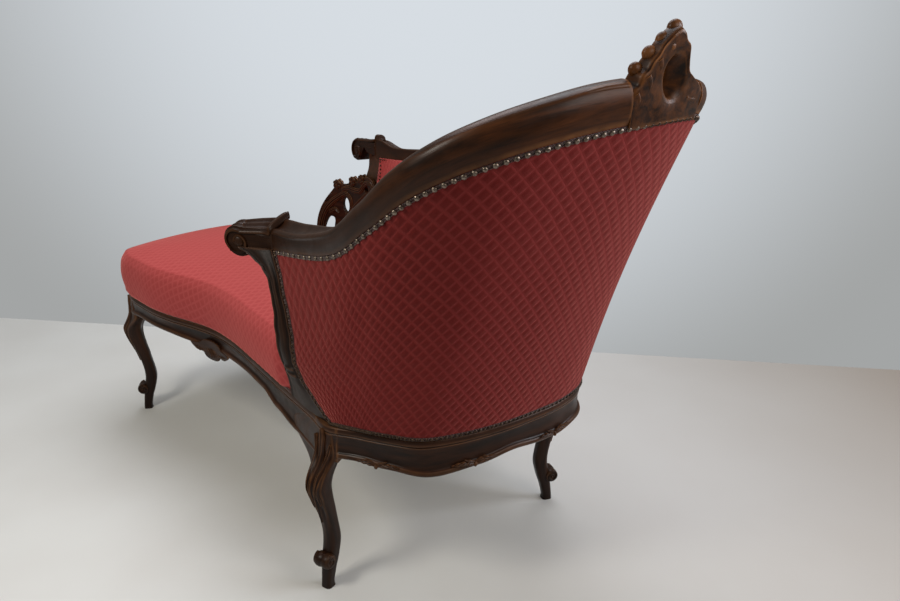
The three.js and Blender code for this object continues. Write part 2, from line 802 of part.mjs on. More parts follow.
function topRail(fromLength, toLength, grow = 0) {
  const inside = stationLengths.filter((value) => value > fromLength && value < toLength);
  const lengths = [fromLength - grow, ...inside, toLength + grow];
  return sweep(lengths.map(topFrameAtLength), (frame) => topRailSection(railHeightCurve(frame.u)[0], grow));
}

addPiece("front_top_rail", topRail(0, frontRailEnd), walnut);
addPiece("back_top_rail", topRail(backRailStart, topLength), walnut);

// Flat outline with holes, given thickness and then bent onto frames.
function bentPlate(points, holes, from, to, frameAt) {
  const shape = new THREE.Shape(points.map(([x, y]) => new THREE.Vector2(x, y)));
  shape.holes = holes.map((hole) => new THREE.Path(hole.map(([x, y]) => new THREE.Vector2(x, y))));
  const plate = new THREE.ExtrudeGeometry(shape, { depth: to - from, bevelEnabled: false, steps: 1 });
  plate.deleteAttribute("normal");
  plate.deleteAttribute("uv");
  const merged = mergeVertices(plate, gap / 100);
  const position = merged.getAttribute("position");
  for (let i = 0; i < position.count; i += 1) {
    const frame = frameAt(position.getX(i));
    const point = frame.origin
      .addScaledVector(frame.up, position.getY(i))
      .addScaledVector(frame.across, from + position.getZ(i));
    position.setXYZ(i, point.x, point.y, point.z);
  }
  return closedGeometry([...position.array], [...merged.index.array]);
}

function oval(centreX, centreY, halfX, halfY, steps) {
  return Array.from({ length: steps }, (unused, k) => {
    const angle = k * 2 * Math.PI / steps;
    return [centreX + halfX * Math.cos(angle), centreY + halfY * Math.sin(angle)];
  });
}

function spacedLine(from, to, y, steps) {
  return counted(from, to, steps).map((x) => [x, y]);
}

// Lobed edge: each second point of the outline is a lobe that stands out from the line.
function crestOutline() {
  const side = (shares, lobed) => shares.map(([x, y], i) => {
    const lobe = lobed && i % 2 === 0 ? crestLobe / 2 : 0;
    return [x * (crestHalfWidth - lobe) + lobe, y * crestHeight];
  });
  const right = side(crestRightShares, false);
  const left = side(crestLeftShares, true).map(([x, y]) => [-x, y]).reverse();
  const base = spacedLine(-crestHalfWidth, crestHalfWidth, -topRailTongue, 12);
  return [...base, ...right, [0, crestHeight + crestLobe], ...left];
}

const crest = bentPlate(
  crestOutline(), [oval(-crestHoleShift, crestHoleCentre, crestHoleWidth / 2, crestHoleHeight / 2, 16)],
  -topRailProud, topRailThickness, (x) => topFrameAtLength(crestMiddle + x));

// Room for the fabric where it runs up behind the lower edge of the show wood.
function coverRebate() {
  const [first, last] = crestColumnShares;
  const columns = coverColumns.filter((u) => u > first && u < last);
  const rows = [crestRebateShare, 1];
  const raised = (depth) => {
    const grid = backLayer(columns, rows, depth);
    grid[1].forEach((point) => point.addScaledVector(upwards, gap));
    return grid;
  };
  return shell(raised(-overrun), raised(backCoverThickness + gap));
}

addPiece("crest_carving", cut(crest, coverRebate()), walnut);

// Arm scrolls at both ends of the top rail, each with a lug across the rail

// Closed outline moved outwards, measured square to its sides.
function outset(points, amount) {
  const line = points.map(([x, y]) => new THREE.Vector2(x, y));
  const turn = THREE.ShapeUtils.isClockWise(line) ? -1 : 1;
  return line.map((point, i) => {
    const before = point.clone().sub(line[(i + line.length - 1) % line.length]).normalize();
    const after = line[(i + 1) % line.length].clone().sub(point).normalize();
    const side = new THREE.Vector2(before.y + after.y, -before.x - after.x).normalize();
    const square = Math.max(side.x * after.y - side.y * after.x, 0.4);
    return [point.x + side.x * amount * turn / square, point.y + side.y * amount * turn / square];
  });
}

function scrollOutline(atStart) {
  const reach = atStart ? frontScrollReach : backScrollReach;
  const height = railHeightCurve(atStart ? 0 : 1)[0];
  const [start, end] = scrollArcShares.map((share) => share * Math.PI);
  const arc = counted(start, end, 14).map((angle) => [
    -reach + scrollRadius * Math.cos(angle), scrollLift + scrollRadius * Math.sin(angle)]);
  const points = [[-gap, gap], [-gap, height], ...arc, [-reach / 2, -topRailTongue]];
  return atStart ? points : points.map(([x, y]) => [topLength - x, y]).reverse();
}

function armScroll(atStart, grow = 0) {
  const outer = (topRailThickness - scrollWidth) / 2 - grow;
  return bentPlate(
    outset(scrollOutline(atStart), grow), [], outer, outer + scrollWidth + 2 * grow, topFrameAtLength);
}

addPiece("front_arm_scroll", armScroll(true), walnut);
addPiece("back_arm_scroll", armScroll(false), walnut);

function armLug(atStart) {
  const height = railHeightCurve(atStart ? 0 : 1)[0];
  const place = atStart ? lugInset : topLength - lugInset;
  const points = oval(place, height + topRailCrown, lugRadius, lugRadius * lugRiseShare, 14);
  const outer = (topRailThickness - lugWidth) / 2;
  const bar = bentPlate(points, [], outer, outer + lugWidth, topFrameAtLength);
  const railPiece = atStart ? topRail(0, frontRailEnd, gap) : topRail(backRailStart, topLength, gap);
  const below = bentPlate(
    [
      [place - lugWidth, -lugWidth], [place + lugWidth, -lugWidth],
      [place + lugWidth, height], [place - lugWidth, height],
    ],
    [], outer - overrun, outer + lugWidth + overrun, topFrameAtLength);
  return cut(bar, railPiece, armScroll(atStart, 2 * softGap), below);
}

addPiece("front_arm_lug", armLug(true), walnut);
addPiece("back_arm_lug", armLug(false), walnut);

// Arm posts, level sections from the seat rail up to the top rail

const postEnds = {
  front: { curve: frontPostCurve, foot: frontPostPlace, head: frontArmTop, atStart: true },
  back: { curve: backPostCurve, foot: backPostPlace, head: backArmTop, atStart: false },
};

function postBody({ curve, foot, head, atStart }, grow = 0) {
  const side = atStart ? 1 : -1;
  const rings = coverRows.map((v) => {
    const right = postEdge(curve, foot, head, v, 1);
    const left = postEdge(curve, foot, head, v, 3);
    const face = left.clone().sub(right).setZ(0).normalize();
    right.addScaledVector(face, softGap - grow);
    left.addScaledVector(face, grow);
    const into = new THREE.Vector3(face.y, -face.x, 0).multiplyScalar(side);
    const points = [
      left.clone().addScaledVector(into, -postProud - grow),
      left.clone().lerp(right, 0.5).addScaledVector(into, -postProud - postCrown - grow),
      right.clone().addScaledVector(into, -postProud - grow),
      right.clone().addScaledVector(into, postDepth + grow),
      left.clone().addScaledVector(into, postDepth + grow),
    ];
    return points.map((point) => point.setZ(right.z));
  });
  const flat = (ring) => ring.map((p) => new THREE.Vector2(p.x, p.y));
  if (THREE.ShapeUtils.isClockWise(flat(rings[0]))) {
    rings.forEach((ring) => ring.reverse());
  }
  return loft(rings, flat(rings[0]), flat(rings[rings.length - 1]));
}

function armPost(end) {
  const railPiece = end.atStart
    ? topRail(0, frontRailEnd, gap)
    : topRail(backRailStart, topLength, gap);
  return cut(postBody(end), railPiece, armScroll(end.atStart, gap));
}

addPiece("front_arm_post", armPost(postEnds.front), walnut);
addPiece("back_arm_post", armPost(postEnds.back), walnut);

// Outer back cover: one fabric panel from arm to arm

const coverSkin = backLayer(coverColumns, coverRows, 0);

addPiece("outer_back_cover", shell(
  coverSkin, backLayer(coverColumns, coverRows, backCoverThickness)), rose);

// Gimp braid on the cover, under the nail heads.
// Its corners are given by column and row of the cover, so that it lies on the same faces.

function coverPoint(column, row, lift) {
  const c = Math.min(Math.floor(column), coverColumns.length - 2);
  const r = Math.min(Math.floor(row), coverRows.length - 2);
  const start = coverSkin[r][c];
  const end = coverSkin[r + 1][c + 1];
  const corner = row - r >= column - c ? coverSkin[r + 1][c] : coverSkin[r][c + 1];
  const first = corner.clone().sub(start);
  const second = end.clone().sub(corner);
  const firstShare = Math.max(row - r, column - c);
  const secondShare = Math.min(row - r, column - c);
  const along = coverSkin[r][c + 1].clone().sub(start);
  const rising = coverSkin[r + 1][c].clone().sub(start);
  const out = new THREE.Vector3().crossVectors(along, rising).normalize();
  return start.clone().addScaledVector(first, firstShare).addScaledVector(second, secondShare)
    .addScaledVector(out, lift);
}

function gimp(grid, lift = gimpGap) {
  const layer = (height) => grid.map((line) => line.map(([c, r]) => coverPoint(c, r, height)));
  return shell(layer(lift + gimpThickness), layer(lift));
}

const lastColumn = coverColumns.length - 1;
const lastRow = coverRows.length - 1;

// Share of one row or one column of the cover that a length takes up.
function rowShare(column, row, length) {
  return length / coverSkin[row][column].distanceTo(coverSkin[row + 1][column]);
}

function columnShare(column, row, length) {
  return length / coverSkin[row][column].distanceTo(coverSkin[row][column + 1]);
}

const gimpFar = gimpMargin + gimpWidth;
const wholeColumns = [
  columnShare(0, lastRow, gimpWidth / 2),
  ...counted(1, lastColumn - 1, lastColumn - 2),
  lastColumn - columnShare(lastColumn - 1, lastRow, gimpWidth / 2),
];

addPiece("top_gimp", gimp([gimpFar, gimpMargin].map((length) => wholeColumns.map(
  (c) => [c, lastRow - rowShare(Math.round(c), lastRow - 1, length)]))), braid);
addPiece("bottom_gimp", gimp([gimpMargin, gimpFar].map((length) => wholeColumns.map(
  (c) => [c, rowShare(Math.round(c), 0, length)]))), braid);

function postGimp(atStart) {
  const edge = atStart ? 0 : lastColumn;
  const first = atStart ? 0 : lastColumn - 1;
  const between = counted(1, lastRow - 1, 3 * (lastRow - 2));
  const low = rowShare(edge, 0, gimpFar + gimpMargin);
  const high = lastRow - rowShare(edge, lastRow - 1, gimpFar + gimpMargin);
  return gimp([low, ...between, high].map((row) => [gimpMargin, gimpFar].map((length) => {
    const share = columnShare(first, Math.min(Math.floor(row), lastRow - 1), length);
    return [atStart ? share : lastColumn - share, row];
  })), softGap);
}

addPiece("front_post_gimp", postGimp(true), braid);
addPiece("back_post_gimp", postGimp(false), braid);

// Inside of the back: slats, hessian and the stuffed pad, all ending under the top rail

const railRoom = sweep(
  [-overrun, ...stationLengths, topLength + overrun].map(topFrameAtLength),
  () => [
    [-overrun, topRailHeight], [backPadReach, topRailHeight],
    [backPadReach, -topRailTongue - softGap], [-overrun, -topRailTongue - softGap],
  ]);
const grownRails = [topRail(0, frontRailEnd, gap), topRail(backRailStart, topLength, gap)];

function underRail(geometry) {
  return cut(geometry, railRoom, ...grownRails);
}

function slat(place) {
  const middle = topLength * place;
  const columns = [middle - slatWidth / 2, middle, middle + slatWidth / 2].map(topPlace);
  return underRail(shell(
    backLayer(columns, coverRows, slatInset),
    backLayer(columns, coverRows, slatInset + slatDepth)));
}

slatPlaceShares.forEach((place, i) => {
  addPiece(`back_slat_${i + 1}`, slat(place), beech);
});

// The hessian and the pad start above the tucked edge of the seat.
const padLengths = [
  backPadEndInset, ...stationLengths.filter((l) => l > backPadEndInset && l < topLength - backPadEndInset),
  topLength - backPadEndInset,
];
const padColumns = padLengths.map(topPlace);
const padSteps = counted(0, 1, 6);

function rowAtHeight(u, height) {
  let low = 0;
  let high = 1;
  for (let halving = 0; halving < 20; halving += 1) {
    const middle = (low + high) / 2;
    if (backPoint(u, middle).z < height) {
      low = middle;
    } else {
      high = middle;
    }
  }
  return high;
}

const padFoot = padColumns.map((u) => rowAtHeight(u, railTop + backPadLift));

function padLayer(depthAt) {
  return padSteps.map((t) => padColumns.map((u, c) => {
    const frame = risingFrame(u, THREE.MathUtils.lerp(padFoot[c], 1, t));
    return frame.origin.addScaledVector(frame.across, depthAt(t, padLengths[c]));
  }));
}

function padDepth(t, length) {
  const fromEnd = Math.min(length, topLength - length) - backPadEndInset;
  const full = THREE.MathUtils.smoothstep(fromEnd, 0, backPadEndRun);
  const crown = Math.pow(Math.sin(Math.PI * THREE.MathUtils.lerp(...padCrownShares, t)), padCrownPower);
  return backPadEdge + (backPadThickness - backPadEdge) * crown * full;
}

const padBack = backClothInset + backClothThickness + softGap;

addPiece("back_hessian", underRail(shell(
  padLayer(() => backClothInset),
  padLayer(() => backClothInset + backClothThickness))), jute);
addPiece("inner_back_pad", underRail(shell(
  padLayer(() => padBack),
  padLayer((t, length) => padBack + padDepth(t, length)))), rose);

// Pierced bracket from the back arm post down to the seat rail

const frontPostS = backRows[0][0];
const backPostS = backRows[backRows.length - 1][0];
const frontPostEnd = frontPostS + frontPostShares[0][3] * postFoot;
const backPostEnd = backPostS - backPostShares[0][3] * postFoot;
const bracketEnd = backPostEnd + bracketReach;

function outlineFrameAt(s) {
  return { origin: outlinePoint(s).setZ(railTop), across: outward(s).negate(), up: upwards.clone() };
}

function pierced() {
  const scaled = (points) => points.map(([x, y]) => [x * bracketReach, y * bracketHeight]);
  const holes = bracketHoleShares.map(([x, y, w, h]) => oval(
    x * bracketReach, y * bracketHeight, w * bracketReach, h * bracketHeight, 12));
  const plate = bentPlate(
    scaled([...bracketOuterShares, ...bracketInnerShares]), holes,
    bracketInset, bracketInset + bracketThickness, (x) => outlineFrameAt(backPostEnd + x));
  const flowers = flowerShares.map(([x, y]) => {
    const frame = outlineFrameAt(backPostEnd + x * bracketReach);
    const place = frame.origin.addScaledVector(frame.up, y * bracketHeight)
      .addScaledVector(frame.across, bracketInset + bracketThickness / 2);
    return new THREE.SphereGeometry(flowerRadius, 8, 5).translate(place.x, place.y, place.z);
  });
  return cut(join(plate, ...flowers), postBody(postEnds.back, gap));
}

addPiece("pierced_bracket", pierced(), walnut);

// Carved pieces on the rails

function carvedPiece(from, to, place, shares, halfWidth, height, drop, thickness) {
  const middle = from + forwardSpan(from, to) * place;
  const points = shares.map(([x, y]) => [x * halfWidth, y * height - drop]);
  const back = -railBead - gap;
  return bentPlate(points, [], back - thickness, back, (x) => outlineFrameAt(middle + x));
}

addPiece("front_cartouche", carvedPiece(
  frontFootS, frontHeadS, cartouchePlaceShare, cartoucheShares, cartoucheHalfWidth, cartoucheHeight,
  sideRailHeight + railScallopDrop + cartoucheHang, cartoucheThickness), walnut);
dropPlaceShares.forEach((place, i) => {
  addPiece(`head_drop_${i + 1}`, carvedPiece(
    frontHeadS, backHeadS, place, dropShares, dropHalfWidth, dropHeight,
    headRailHeight + railScallopDrop / 2, dropThickness), walnut);
});

// Stuffed seat.  Rows of place on the outline and inset of the seat's side from it.

const seatInsetRows = [
  [frontPostEnd - 1.5 * seatBlend, 0], [frontPostEnd - seatBlend / 4, seatPostInset],
  [frontPostS + seatBlend / 2, seatInsideInset], [backPostS - 2 * seatBlend, seatInsideInset],
  [backPostS, seatPostInset], [bracketEnd + seatBlend / 6, seatPostInset], [bracketEnd + 2 * seatBlend, 0],
];

function seatInset(s) {
  const start = seatInsetRows[0][0];
  const place = start + wrap(s - start);
  return place >= seatInsetRows[seatInsetRows.length - 1][0] ? 0 : tableValue(seatInsetRows, place);
}

const seatPlaces = counted(0, outlineLength, 56).slice(0, -1);
const seatFloor = railTop + gap;

function seatPoint(s, inset, z) {
  const point = outlinePoint(s);
  return point.addScaledVector(inward(point), inset).setZ(z);
}

function seatRing(insetAt, z) {
  return seatPlaces.map((s) => {
    const side = seatInset(s);
    return seatPoint(s, insetAt(side, Math.min(side / seatPostInset, 1)), z);
  });
}

const tuckInset = (side, covered) => THREE.MathUtils.lerp(seatLip, seatTuck, covered);
const wallInset = (side, covered) => tuckInset(side, covered) + seatWall;
const recessInset = (side, covered) => Math.max(wallInset(side, covered), side + seatWall / 2);

function seatSide(bulgeShare, heightShare) {
  return seatRing((side, covered) => side - seatBulge * bulgeShare * (1 - covered)
    + seatBulge * (1 - bulgeShare) / 2 * covered, railTop + seatCrown * heightShare);
}

function seatTop(drawShare, heightShare) {
  const edge = seatSide(...seatSideShares[seatSideShares.length - 1]);
  return edge.map((point) => point.lerp(middlePoint(point), drawShare)
    .setZ(railTop + seatCrown * heightShare));
}

const seatFlat = (ring) => ring.map((p) => new THREE.Vector2(p.x, p.y));

function seatCushion() {
  const lowSide = (side, covered) => THREE.MathUtils.lerp(
    side - seatBulge * seatSideShares[0][0], tuckInset(side, covered), covered);
  const rings = [
    seatRing((side, covered) => recessInset(side, covered) + seatWallTaper, railTop + seatRecess),
    seatRing((side, covered) => recessInset(side, covered), seatFloor + 3 * seatWebRise),
    seatRing(wallInset, seatFloor + 2 * seatWebRise),
    seatRing(wallInset, seatFloor),
    seatRing(tuckInset, seatFloor),
    seatRing(lowSide, seatFloor + seatTuckHeight),
    ...seatSideShares.map(([bulge, height]) => seatSide(bulge, height)),
    ...seatTopShares.map(([draw, height]) => seatTop(draw, height)),
  ];
  return loft(rings, seatFlat(rings[0]), seatFlat(rings[rings.length - 1]));
}

addPiece("seat_cushion", seatCushion(), rose);

// Seat foundation: webbing, springs, hessian, cross rails, corner blocks and dust cloth

const webbingTop = railInnerBottom - gap;
const hessianTop = railTop + seatRecess - gap;

function seatHessian() {
  const inset = (side, covered) => recessInset(side, covered) + seatWallTaper + softGap;
  const rings = [hessianTop - clothThickness, hessianTop].map((z) => seatRing(inset, z));
  return loft(rings, seatFlat(rings[0]), seatFlat(rings[1]));
}

addPiece("seat_hessian", seatHessian(), jute);

class SpringLine extends THREE.Curve {
  constructor(centre, from, to) {
    super();
    Object.assign(this, { centre, from, to });
  }

  getPoint(t, target = new THREE.Vector3()) {
    const waist = 1 - (1 - springWaistShare) * Math.sin(Math.PI * t);
    const angle = 2 * Math.PI * springTurns * t;
    return target.set(
      this.centre.x + springRadius * waist * Math.cos(angle),
      this.centre.y + springRadius * waist * Math.sin(angle),
      this.from + (this.to - this.from) * t);
  }
}

const recessRing = seatRing(recessInset, 0);

// Open span of the recess across the seat, from front to back, on one line along it.
function recessSpan(x) {
  const found = recessRing.flatMap((point, i) => {
    const next = recessRing[(i + 1) % recessRing.length];
    const share = (x - point.x) / (next.x - point.x);
    return share >= 0 && share < 1 ? [point.y + (next.y - point.y) * share] : [];
  });
  return [Math.min(...found), Math.max(...found)];
}

function spring([place, row]) {
  const clear = gap + springWire * Math.SQRT1_2;
  const x = planX(place);
  const spans = [x - springRadius, x, x + springRadius].map(recessSpan);
  const edge = springRadius + springClearance;
  const front = Math.max(...spans.map(([low]) => low)) + edge;
  const back = Math.min(...spans.map(([, high]) => high)) - edge;
  const line = new SpringLine(
    new THREE.Vector3(x, THREE.MathUtils.lerp(front, back, row), 0),
    webbingTop + clear, hessianTop - clothThickness - clear);
  const half = springWire / 2;
  const wire = new THREE.Shape([[-half, -half], [half, -half], [half, half], [-half, half]]
    .map(([a, b]) => new THREE.Vector2(a, b)));
  return new THREE.ExtrudeGeometry(
    wire, { steps: 6 * springTurns, bevelEnabled: false, extrudePath: line });
}

springShares.forEach((place, i) => {
  addPiece(`seat_spring_${i + 1}`, spring(place), steel);
});

// Upright block inside the seat outline, between two levels.
function insideOutline(inset, low, high) {
  const ring = counted(0, outlineLength, 72).slice(0, -1)
    .map((s) => outlinePoint(s).addScaledVector(outward(s), -inset));
  const rings = [low, high].map((z) => ring.map((point) => point.clone().setZ(z)));
  return loft(rings, seatFlat(rings[0]), seatFlat(rings[1]));
}

function legRoom(s) {
  const frames = outlineFrames(s - legBlockHalf - softGap, 2 * (legBlockHalf + softGap), legBlockHalf);
  const outer = -railBead - overrun;
  const inner = legBlockDepth + softGap;
  const low = legTop - legBlockDrop - overrun;
  const high = railTop + overrun;
  return sweep(frames, () => [[outer, high], [inner, high], [inner, low], [outer, low]]);
}

const legRooms = [frontHeadS, backHeadS, backFootS, frontFootS].map(legRoom);

function seatWebbing() {
  const low = webbingTop - webbingThickness;
  const region = insideOutline(webbingInset, low, webbingTop);
  const across = webbingColumnShares.map((share) => new THREE.BoxGeometry(
    webbingWidth, 2 * legDepth, webbingThickness)
    .translate(planX(share), legDepth / 2, low + webbingThickness / 2));
  const along = webbingRowShares.map((share) => new THREE.BoxGeometry(
    2 * legSpan, webbingWidth, webbingThickness)
    .translate(-legSpan / 2, share * legDepth, low + webbingThickness / 2));
  return cut(keepInside(join(...across, ...along), region), ...legRooms);
}

addPiece("seat_webbing", seatWebbing(), linen);

const dustClothTop = webbingTop - webbingThickness - dustClothDrop / 2;
addPiece("dust_cloth", cut(
  insideOutline(webbingInset, dustClothTop - dustClothThickness, dustClothTop), ...legRooms), linen);

crossRailShares.forEach((share, i) => {
  const low = railTop - gap - crossRailHeight;
  const beam = new THREE.BoxGeometry(crossRailWidth, 2 * legDepth, crossRailHeight)
    .translate(planX(share), legDepth / 2, low + crossRailHeight / 2);
  const room = insideOutline(railThickness + softGap, low - overrun, railTop + overrun);
  addPiece(`cross_rail_${i + 1}`, keepInside(beam, room), beech);
});

function cornerBlock(s) {
  const frames = outlineFrames(s - cornerBlockReach, 2 * cornerBlockReach, cornerBlockReach / 4);
  const outer = railThickness + softGap;
  const low = webbingTop + softGap;
  const high = railTop - softGap;
  const block = sweep(frames, () => [
    [outer, high], [cornerBlockDepth, high], [cornerBlockDepth, low], [outer, low]]);
  return cut(block, legRoom(s));
}

const cornerNames = ["front_head", "back_head", "back_foot", "front_foot"];
[frontHeadS, backHeadS, backFootS, frontFootS].forEach((s, i) => {
  addPiece(`corner_block_${cornerNames[i]}`, cornerBlock(s), beech);
});

couch.updateMatrixWorld(true);
const box = new THREE.Box3().setFromObject(couch);
const centre = box.getCenter(new THREE.Vector3());
couch.position.set(-centre.x, -centre.y, -box.min.z);

export default couch;
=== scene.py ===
"""Fainting couch with a carved walnut frame, a tub back and a woven rose cover."""
import json
import logging
import math
from dataclasses import dataclass, field
from enum import Enum
from typing import Callable, Iterable, Sequence

import bmesh
import bpy
import numpy as np
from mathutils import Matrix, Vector


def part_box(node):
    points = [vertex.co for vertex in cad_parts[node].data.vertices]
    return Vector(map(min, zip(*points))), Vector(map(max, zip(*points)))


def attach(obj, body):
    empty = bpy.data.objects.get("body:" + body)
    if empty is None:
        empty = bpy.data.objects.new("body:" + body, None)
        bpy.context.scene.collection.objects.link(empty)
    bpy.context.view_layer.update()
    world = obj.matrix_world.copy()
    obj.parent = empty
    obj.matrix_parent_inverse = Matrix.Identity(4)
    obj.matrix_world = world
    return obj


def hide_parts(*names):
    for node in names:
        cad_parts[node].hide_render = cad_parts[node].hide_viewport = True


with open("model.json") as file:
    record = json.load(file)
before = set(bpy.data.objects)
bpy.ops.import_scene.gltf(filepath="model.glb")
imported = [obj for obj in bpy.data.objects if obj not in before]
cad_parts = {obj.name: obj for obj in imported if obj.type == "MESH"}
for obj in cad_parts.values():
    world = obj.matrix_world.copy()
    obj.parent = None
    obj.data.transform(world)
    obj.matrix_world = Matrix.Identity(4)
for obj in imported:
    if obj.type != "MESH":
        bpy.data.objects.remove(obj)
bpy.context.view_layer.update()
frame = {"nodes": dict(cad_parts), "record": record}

log = logging.getLogger("couch")

MM = 0.001
UP = np.array([0.0, 0.0, 1.0])
Place = Callable[[np.ndarray, np.ndarray, np.ndarray], np.ndarray]

# Seat outline, outer face of the rails, in shares of the bow, the leg span and the leg depth.
SEAT_OUTLINE_SHARES = (
    (-0.06, 0.022), (0.05, 0.022), (0.32, 0.085), (0.6, 0.15), (0.85, 0.225), (0.965, 0.34),
    (1.01, 0.48), (1, 0.62), (0.93, 0.79), (0.73, 0.93), (0.36, 0.995), (-0.04, 1.2), (-0.2, 1.6),
    (-0.45, 1.8), (-0.7, 1.4), (-0.88, 0.995), (-0.975, 0.96), (-1.45, 0.87), (-1.84, 0.7),
    (-2, 0.51), (-1.98, 0.31), (-1.76, 0.11), (-1.38, -0.42), (-1.05, -0.94), (-0.96, -1.02),
    (-0.88, -0.93), (-0.8, -0.8), (-0.73, -0.6), (-0.66, -0.34), (-0.58, -0.1), (-0.48, 0.005),
    (-0.34, 0.012), (-0.18, 0.016))
# Outline X and Y shares, then the back's top edge: X share, Y share and share of its rise.
BACK_LINE_SHARES = (
    (0.17, 0.04, -0.1755, 0.011, 0.516), (0.24, 0.06, 0.2, 0.005, 0.607),
    (0.36, 0.09, 0.5, 0.02, 0.722), (0.46, 0.12, 0.69, 0.062, 0.82),
    (0.64, 0.165, 0.825, 0.135, 0.884), (0.82, 0.215, 0.925, 0.235, 0.93),
    (0.94, 0.3, 0.985, 0.36, 0.963), (0.985, 0.4, 1.012, 0.49, 0.984),
    (1.01, 0.5, 1.022, 0.625, 0.997), (1, 0.63, 0.995, 0.78, 1.003),
    (0.93, 0.79, 0.9, 0.93, 0.99), (0.73, 0.93, 0.68, 2.6, 0.935), (0.36, 0.995, 0.34, 4.4, 0.85),
    (-0.06, 1.25, -0.04, 5.2, 0.77), (-0.28, 1.7, -0.28, 5, 0.695), (-0.56, 1.7, -0.55, 3.8, 0.64),
    (-0.87, 0.995, -0.775, 2.6, 0.612))
TOP_RAIL_HEIGHT_SHARES = (
    0.66, 0.67, 0.7, 0.76, 0.84, 0.9, 0.95, 1, 0.97, 0.85, 0.78, 0.74, 0.72, 0.7, 0.68, 0.66, 0.62)
# Share of the post's rise, then X and Y of its fabric edge and of its seat edge.
FRONT_POST_SHARES = (
    (0, 0, 0, -1.33, -0.1), (0.11, -0.23, -0.066, -1.31, -0.13),
    (0.23, -0.62, -0.098, -1.287, -0.19), (0.345, -0.92, -0.115, -1.27, -0.254),
    (0.516, -1.09, -0.115, -1.33, -0.3), (0.8, -1.295, -0.115, -1.656, -0.33),
    (1, -1.598, -0.115, -1.885, -0.33))
# Front post as it is carved: height share, then how far its cloth edge and its seat edge move
# over, as shares of its width.
FRONT_POST_CLOTH_SHIFTS = (
    (0, 0.1), (0.05, 0.16), (0.12, 0.25), (0.2, 0.38), (0.29, 0.36), (0.37, 0.22), (0.49, 0.09),
    (0.64, 0.08), (0.74, 0.12), (0.88, 0.05), (1, 0))
FRONT_POST_SEAT_SHIFTS = (
    (0, 0), (0.15, 0), (0.23, -0.04), (0.3, -0.13), (0.38, -0.15), (0.5, 0), (0.64, 0.26),
    (0.74, 0.36), (0.82, 0.38), (0.89, 0.22), (0.94, -0.1), (0.97, -0.35), (1, -0.7))
# The far post in the same way: it sweeps out to meet the bracket.
BACK_POST_SEAT_SHIFTS = (
    (0, 0), (0.3, 0), (0.5, -0.5), (0.62, -1), (0.74, -1.15), (0.86, -1.2), (1, -1.3))
BACK_POST_SHARES = (
    (0, 0, 0, -0.34, 0), (0.25, 0, 0.03, -0.33, 0.03), (0.46, 0.06, 0.06, -0.26, 0.06),
    (0.58, 0.24, 0.09, -0.06, 0.09), (0.72, 0.58, 0.13, 0.28, 0.13), (0.86, 0.76, 0.17, 0.5, 0.17),
    (1, 0.76, 0.2, 0.52, 0.2))
# Cabriole leg from the top down: share of its height, outward sway, share of the knee's width.
LEG_SHARES = (
    (1.03, 0.7, 0.95), (0.96, 1.4, 0.92), (0.88, 1.2, 0.85), (0.81, 0.8, 0.78), (0.74, 0.4, 0.71),
    (0.66, -0.1, 0.65), (0.58, -0.65, 0.6), (0.5, -1, 0.57), (0.42, -1.2, 0.57), (0.34, -1.2, 0.59),
    (0.27, -1.02, 0.58), (0.2, -0.76, 0.55), (0.13, -0.38, 0.49), (0.04, 0, 0.43), (0, 0, 0.46))
# Lower edge of the rails: place along the rail and share of the scallop's drop.
HEAD_EDGE_SHARES = (
    (0, 0.1), (0.08, 0.1), (0.15, 0.3), (0.28, 0.7), (0.4, 0.4), (0.52, 0), (0.62, 0.3),
    (0.7, 0.4), (0.8, 0.2), (0.9, 0.1), (1, 0.1))
SIDE_EDGE_SHARES = ((0, 0.3), (0.1, 0), (0.3, 0.1), (0.5, 1.1), (0.7, 0.1), (0.9, 0), (1, 0.3))
FRONT_EDGE_SHARES = (
    (0, 0.3), (0.08, 0), (0.2, 0), (0.38, 0.4), (0.52, 0.2), (0.64, 0), (0.72, 0.1), (0.8, 0.95),
    (0.9, 1.5), (1, 1.85))
# Seat side from the rail up, then the top drawn in to the middle line.
SEAT_SIDE_SHARES = ((0.62, 0.14), (0.95, 0.32), (1, 0.5), (0.6, 0.7), (-0.3, 0.84))
SEAT_TOP_SHARES = ((0.16, 0.91), (0.4, 0.965), (0.7, 0.992), (0.92, 1))
MIDDLE_SHARES = ((-0.82, 0.4), (0.1, 0.49))
WEBBING_ROW_SHARES = (0.12, 0.28, 0.44, 0.6, 0.76)
WEBBING_COLUMN_SHARES = (-0.91, -0.79, -0.68, -0.46, -0.35, -0.24, -0.02)
# Crest outline, each half from the rail up: share of the half width, share of the height.
CREST_LEFT_SHARES = (
    (1, 0.3), (0.96, 0.38), (0.86, 0.44), (0.79, 0.54), (0.68, 0.6), (0.6, 0.69), (0.5, 0.76),
    (0.42, 0.85), (0.3, 0.92), (0.17, 0.99))
CREST_RIGHT_SHARES = (
    (1, 0.16), (0.98, 0.28), (0.84, 0.36), (0.62, 0.42), (0.47, 0.47), (0.34, 0.53), (0.29, 0.63),
    (0.26, 0.73), (0.22, 0.83), (0.1, 0.9), (0.04, 0.97))
BRACKET_OUTER_SHARES = (
    (-0.86, 0.98), (-0.74, 1.1), (-0.56, 1.13), (-0.36, 1.08), (-0.2, 1.04), (-0.04, 1.03),
    (0.2, 0.98), (0.44, 0.96), (0.62, 0.86), (0.8, 0.74), (0.94, 0.6), (1.02, 0.44), (1.04, 0.24),
    (1.03, 0.006))
BRACKET_INNER_SHARES = (
    (0.86, 0.006), (0.88, 0.22), (0.82, 0.4), (0.7, 0.53), (0.55, 0.52), (0.58, 0.36), (0.5, 0.2),
    (0.34, 0.13), (0.2, 0.2), (0.14, 0.36), (0.04, 0.5), (-0.12, 0.64), (-0.32, 0.76),
    (-0.56, 0.86), (-0.8, 0.92))
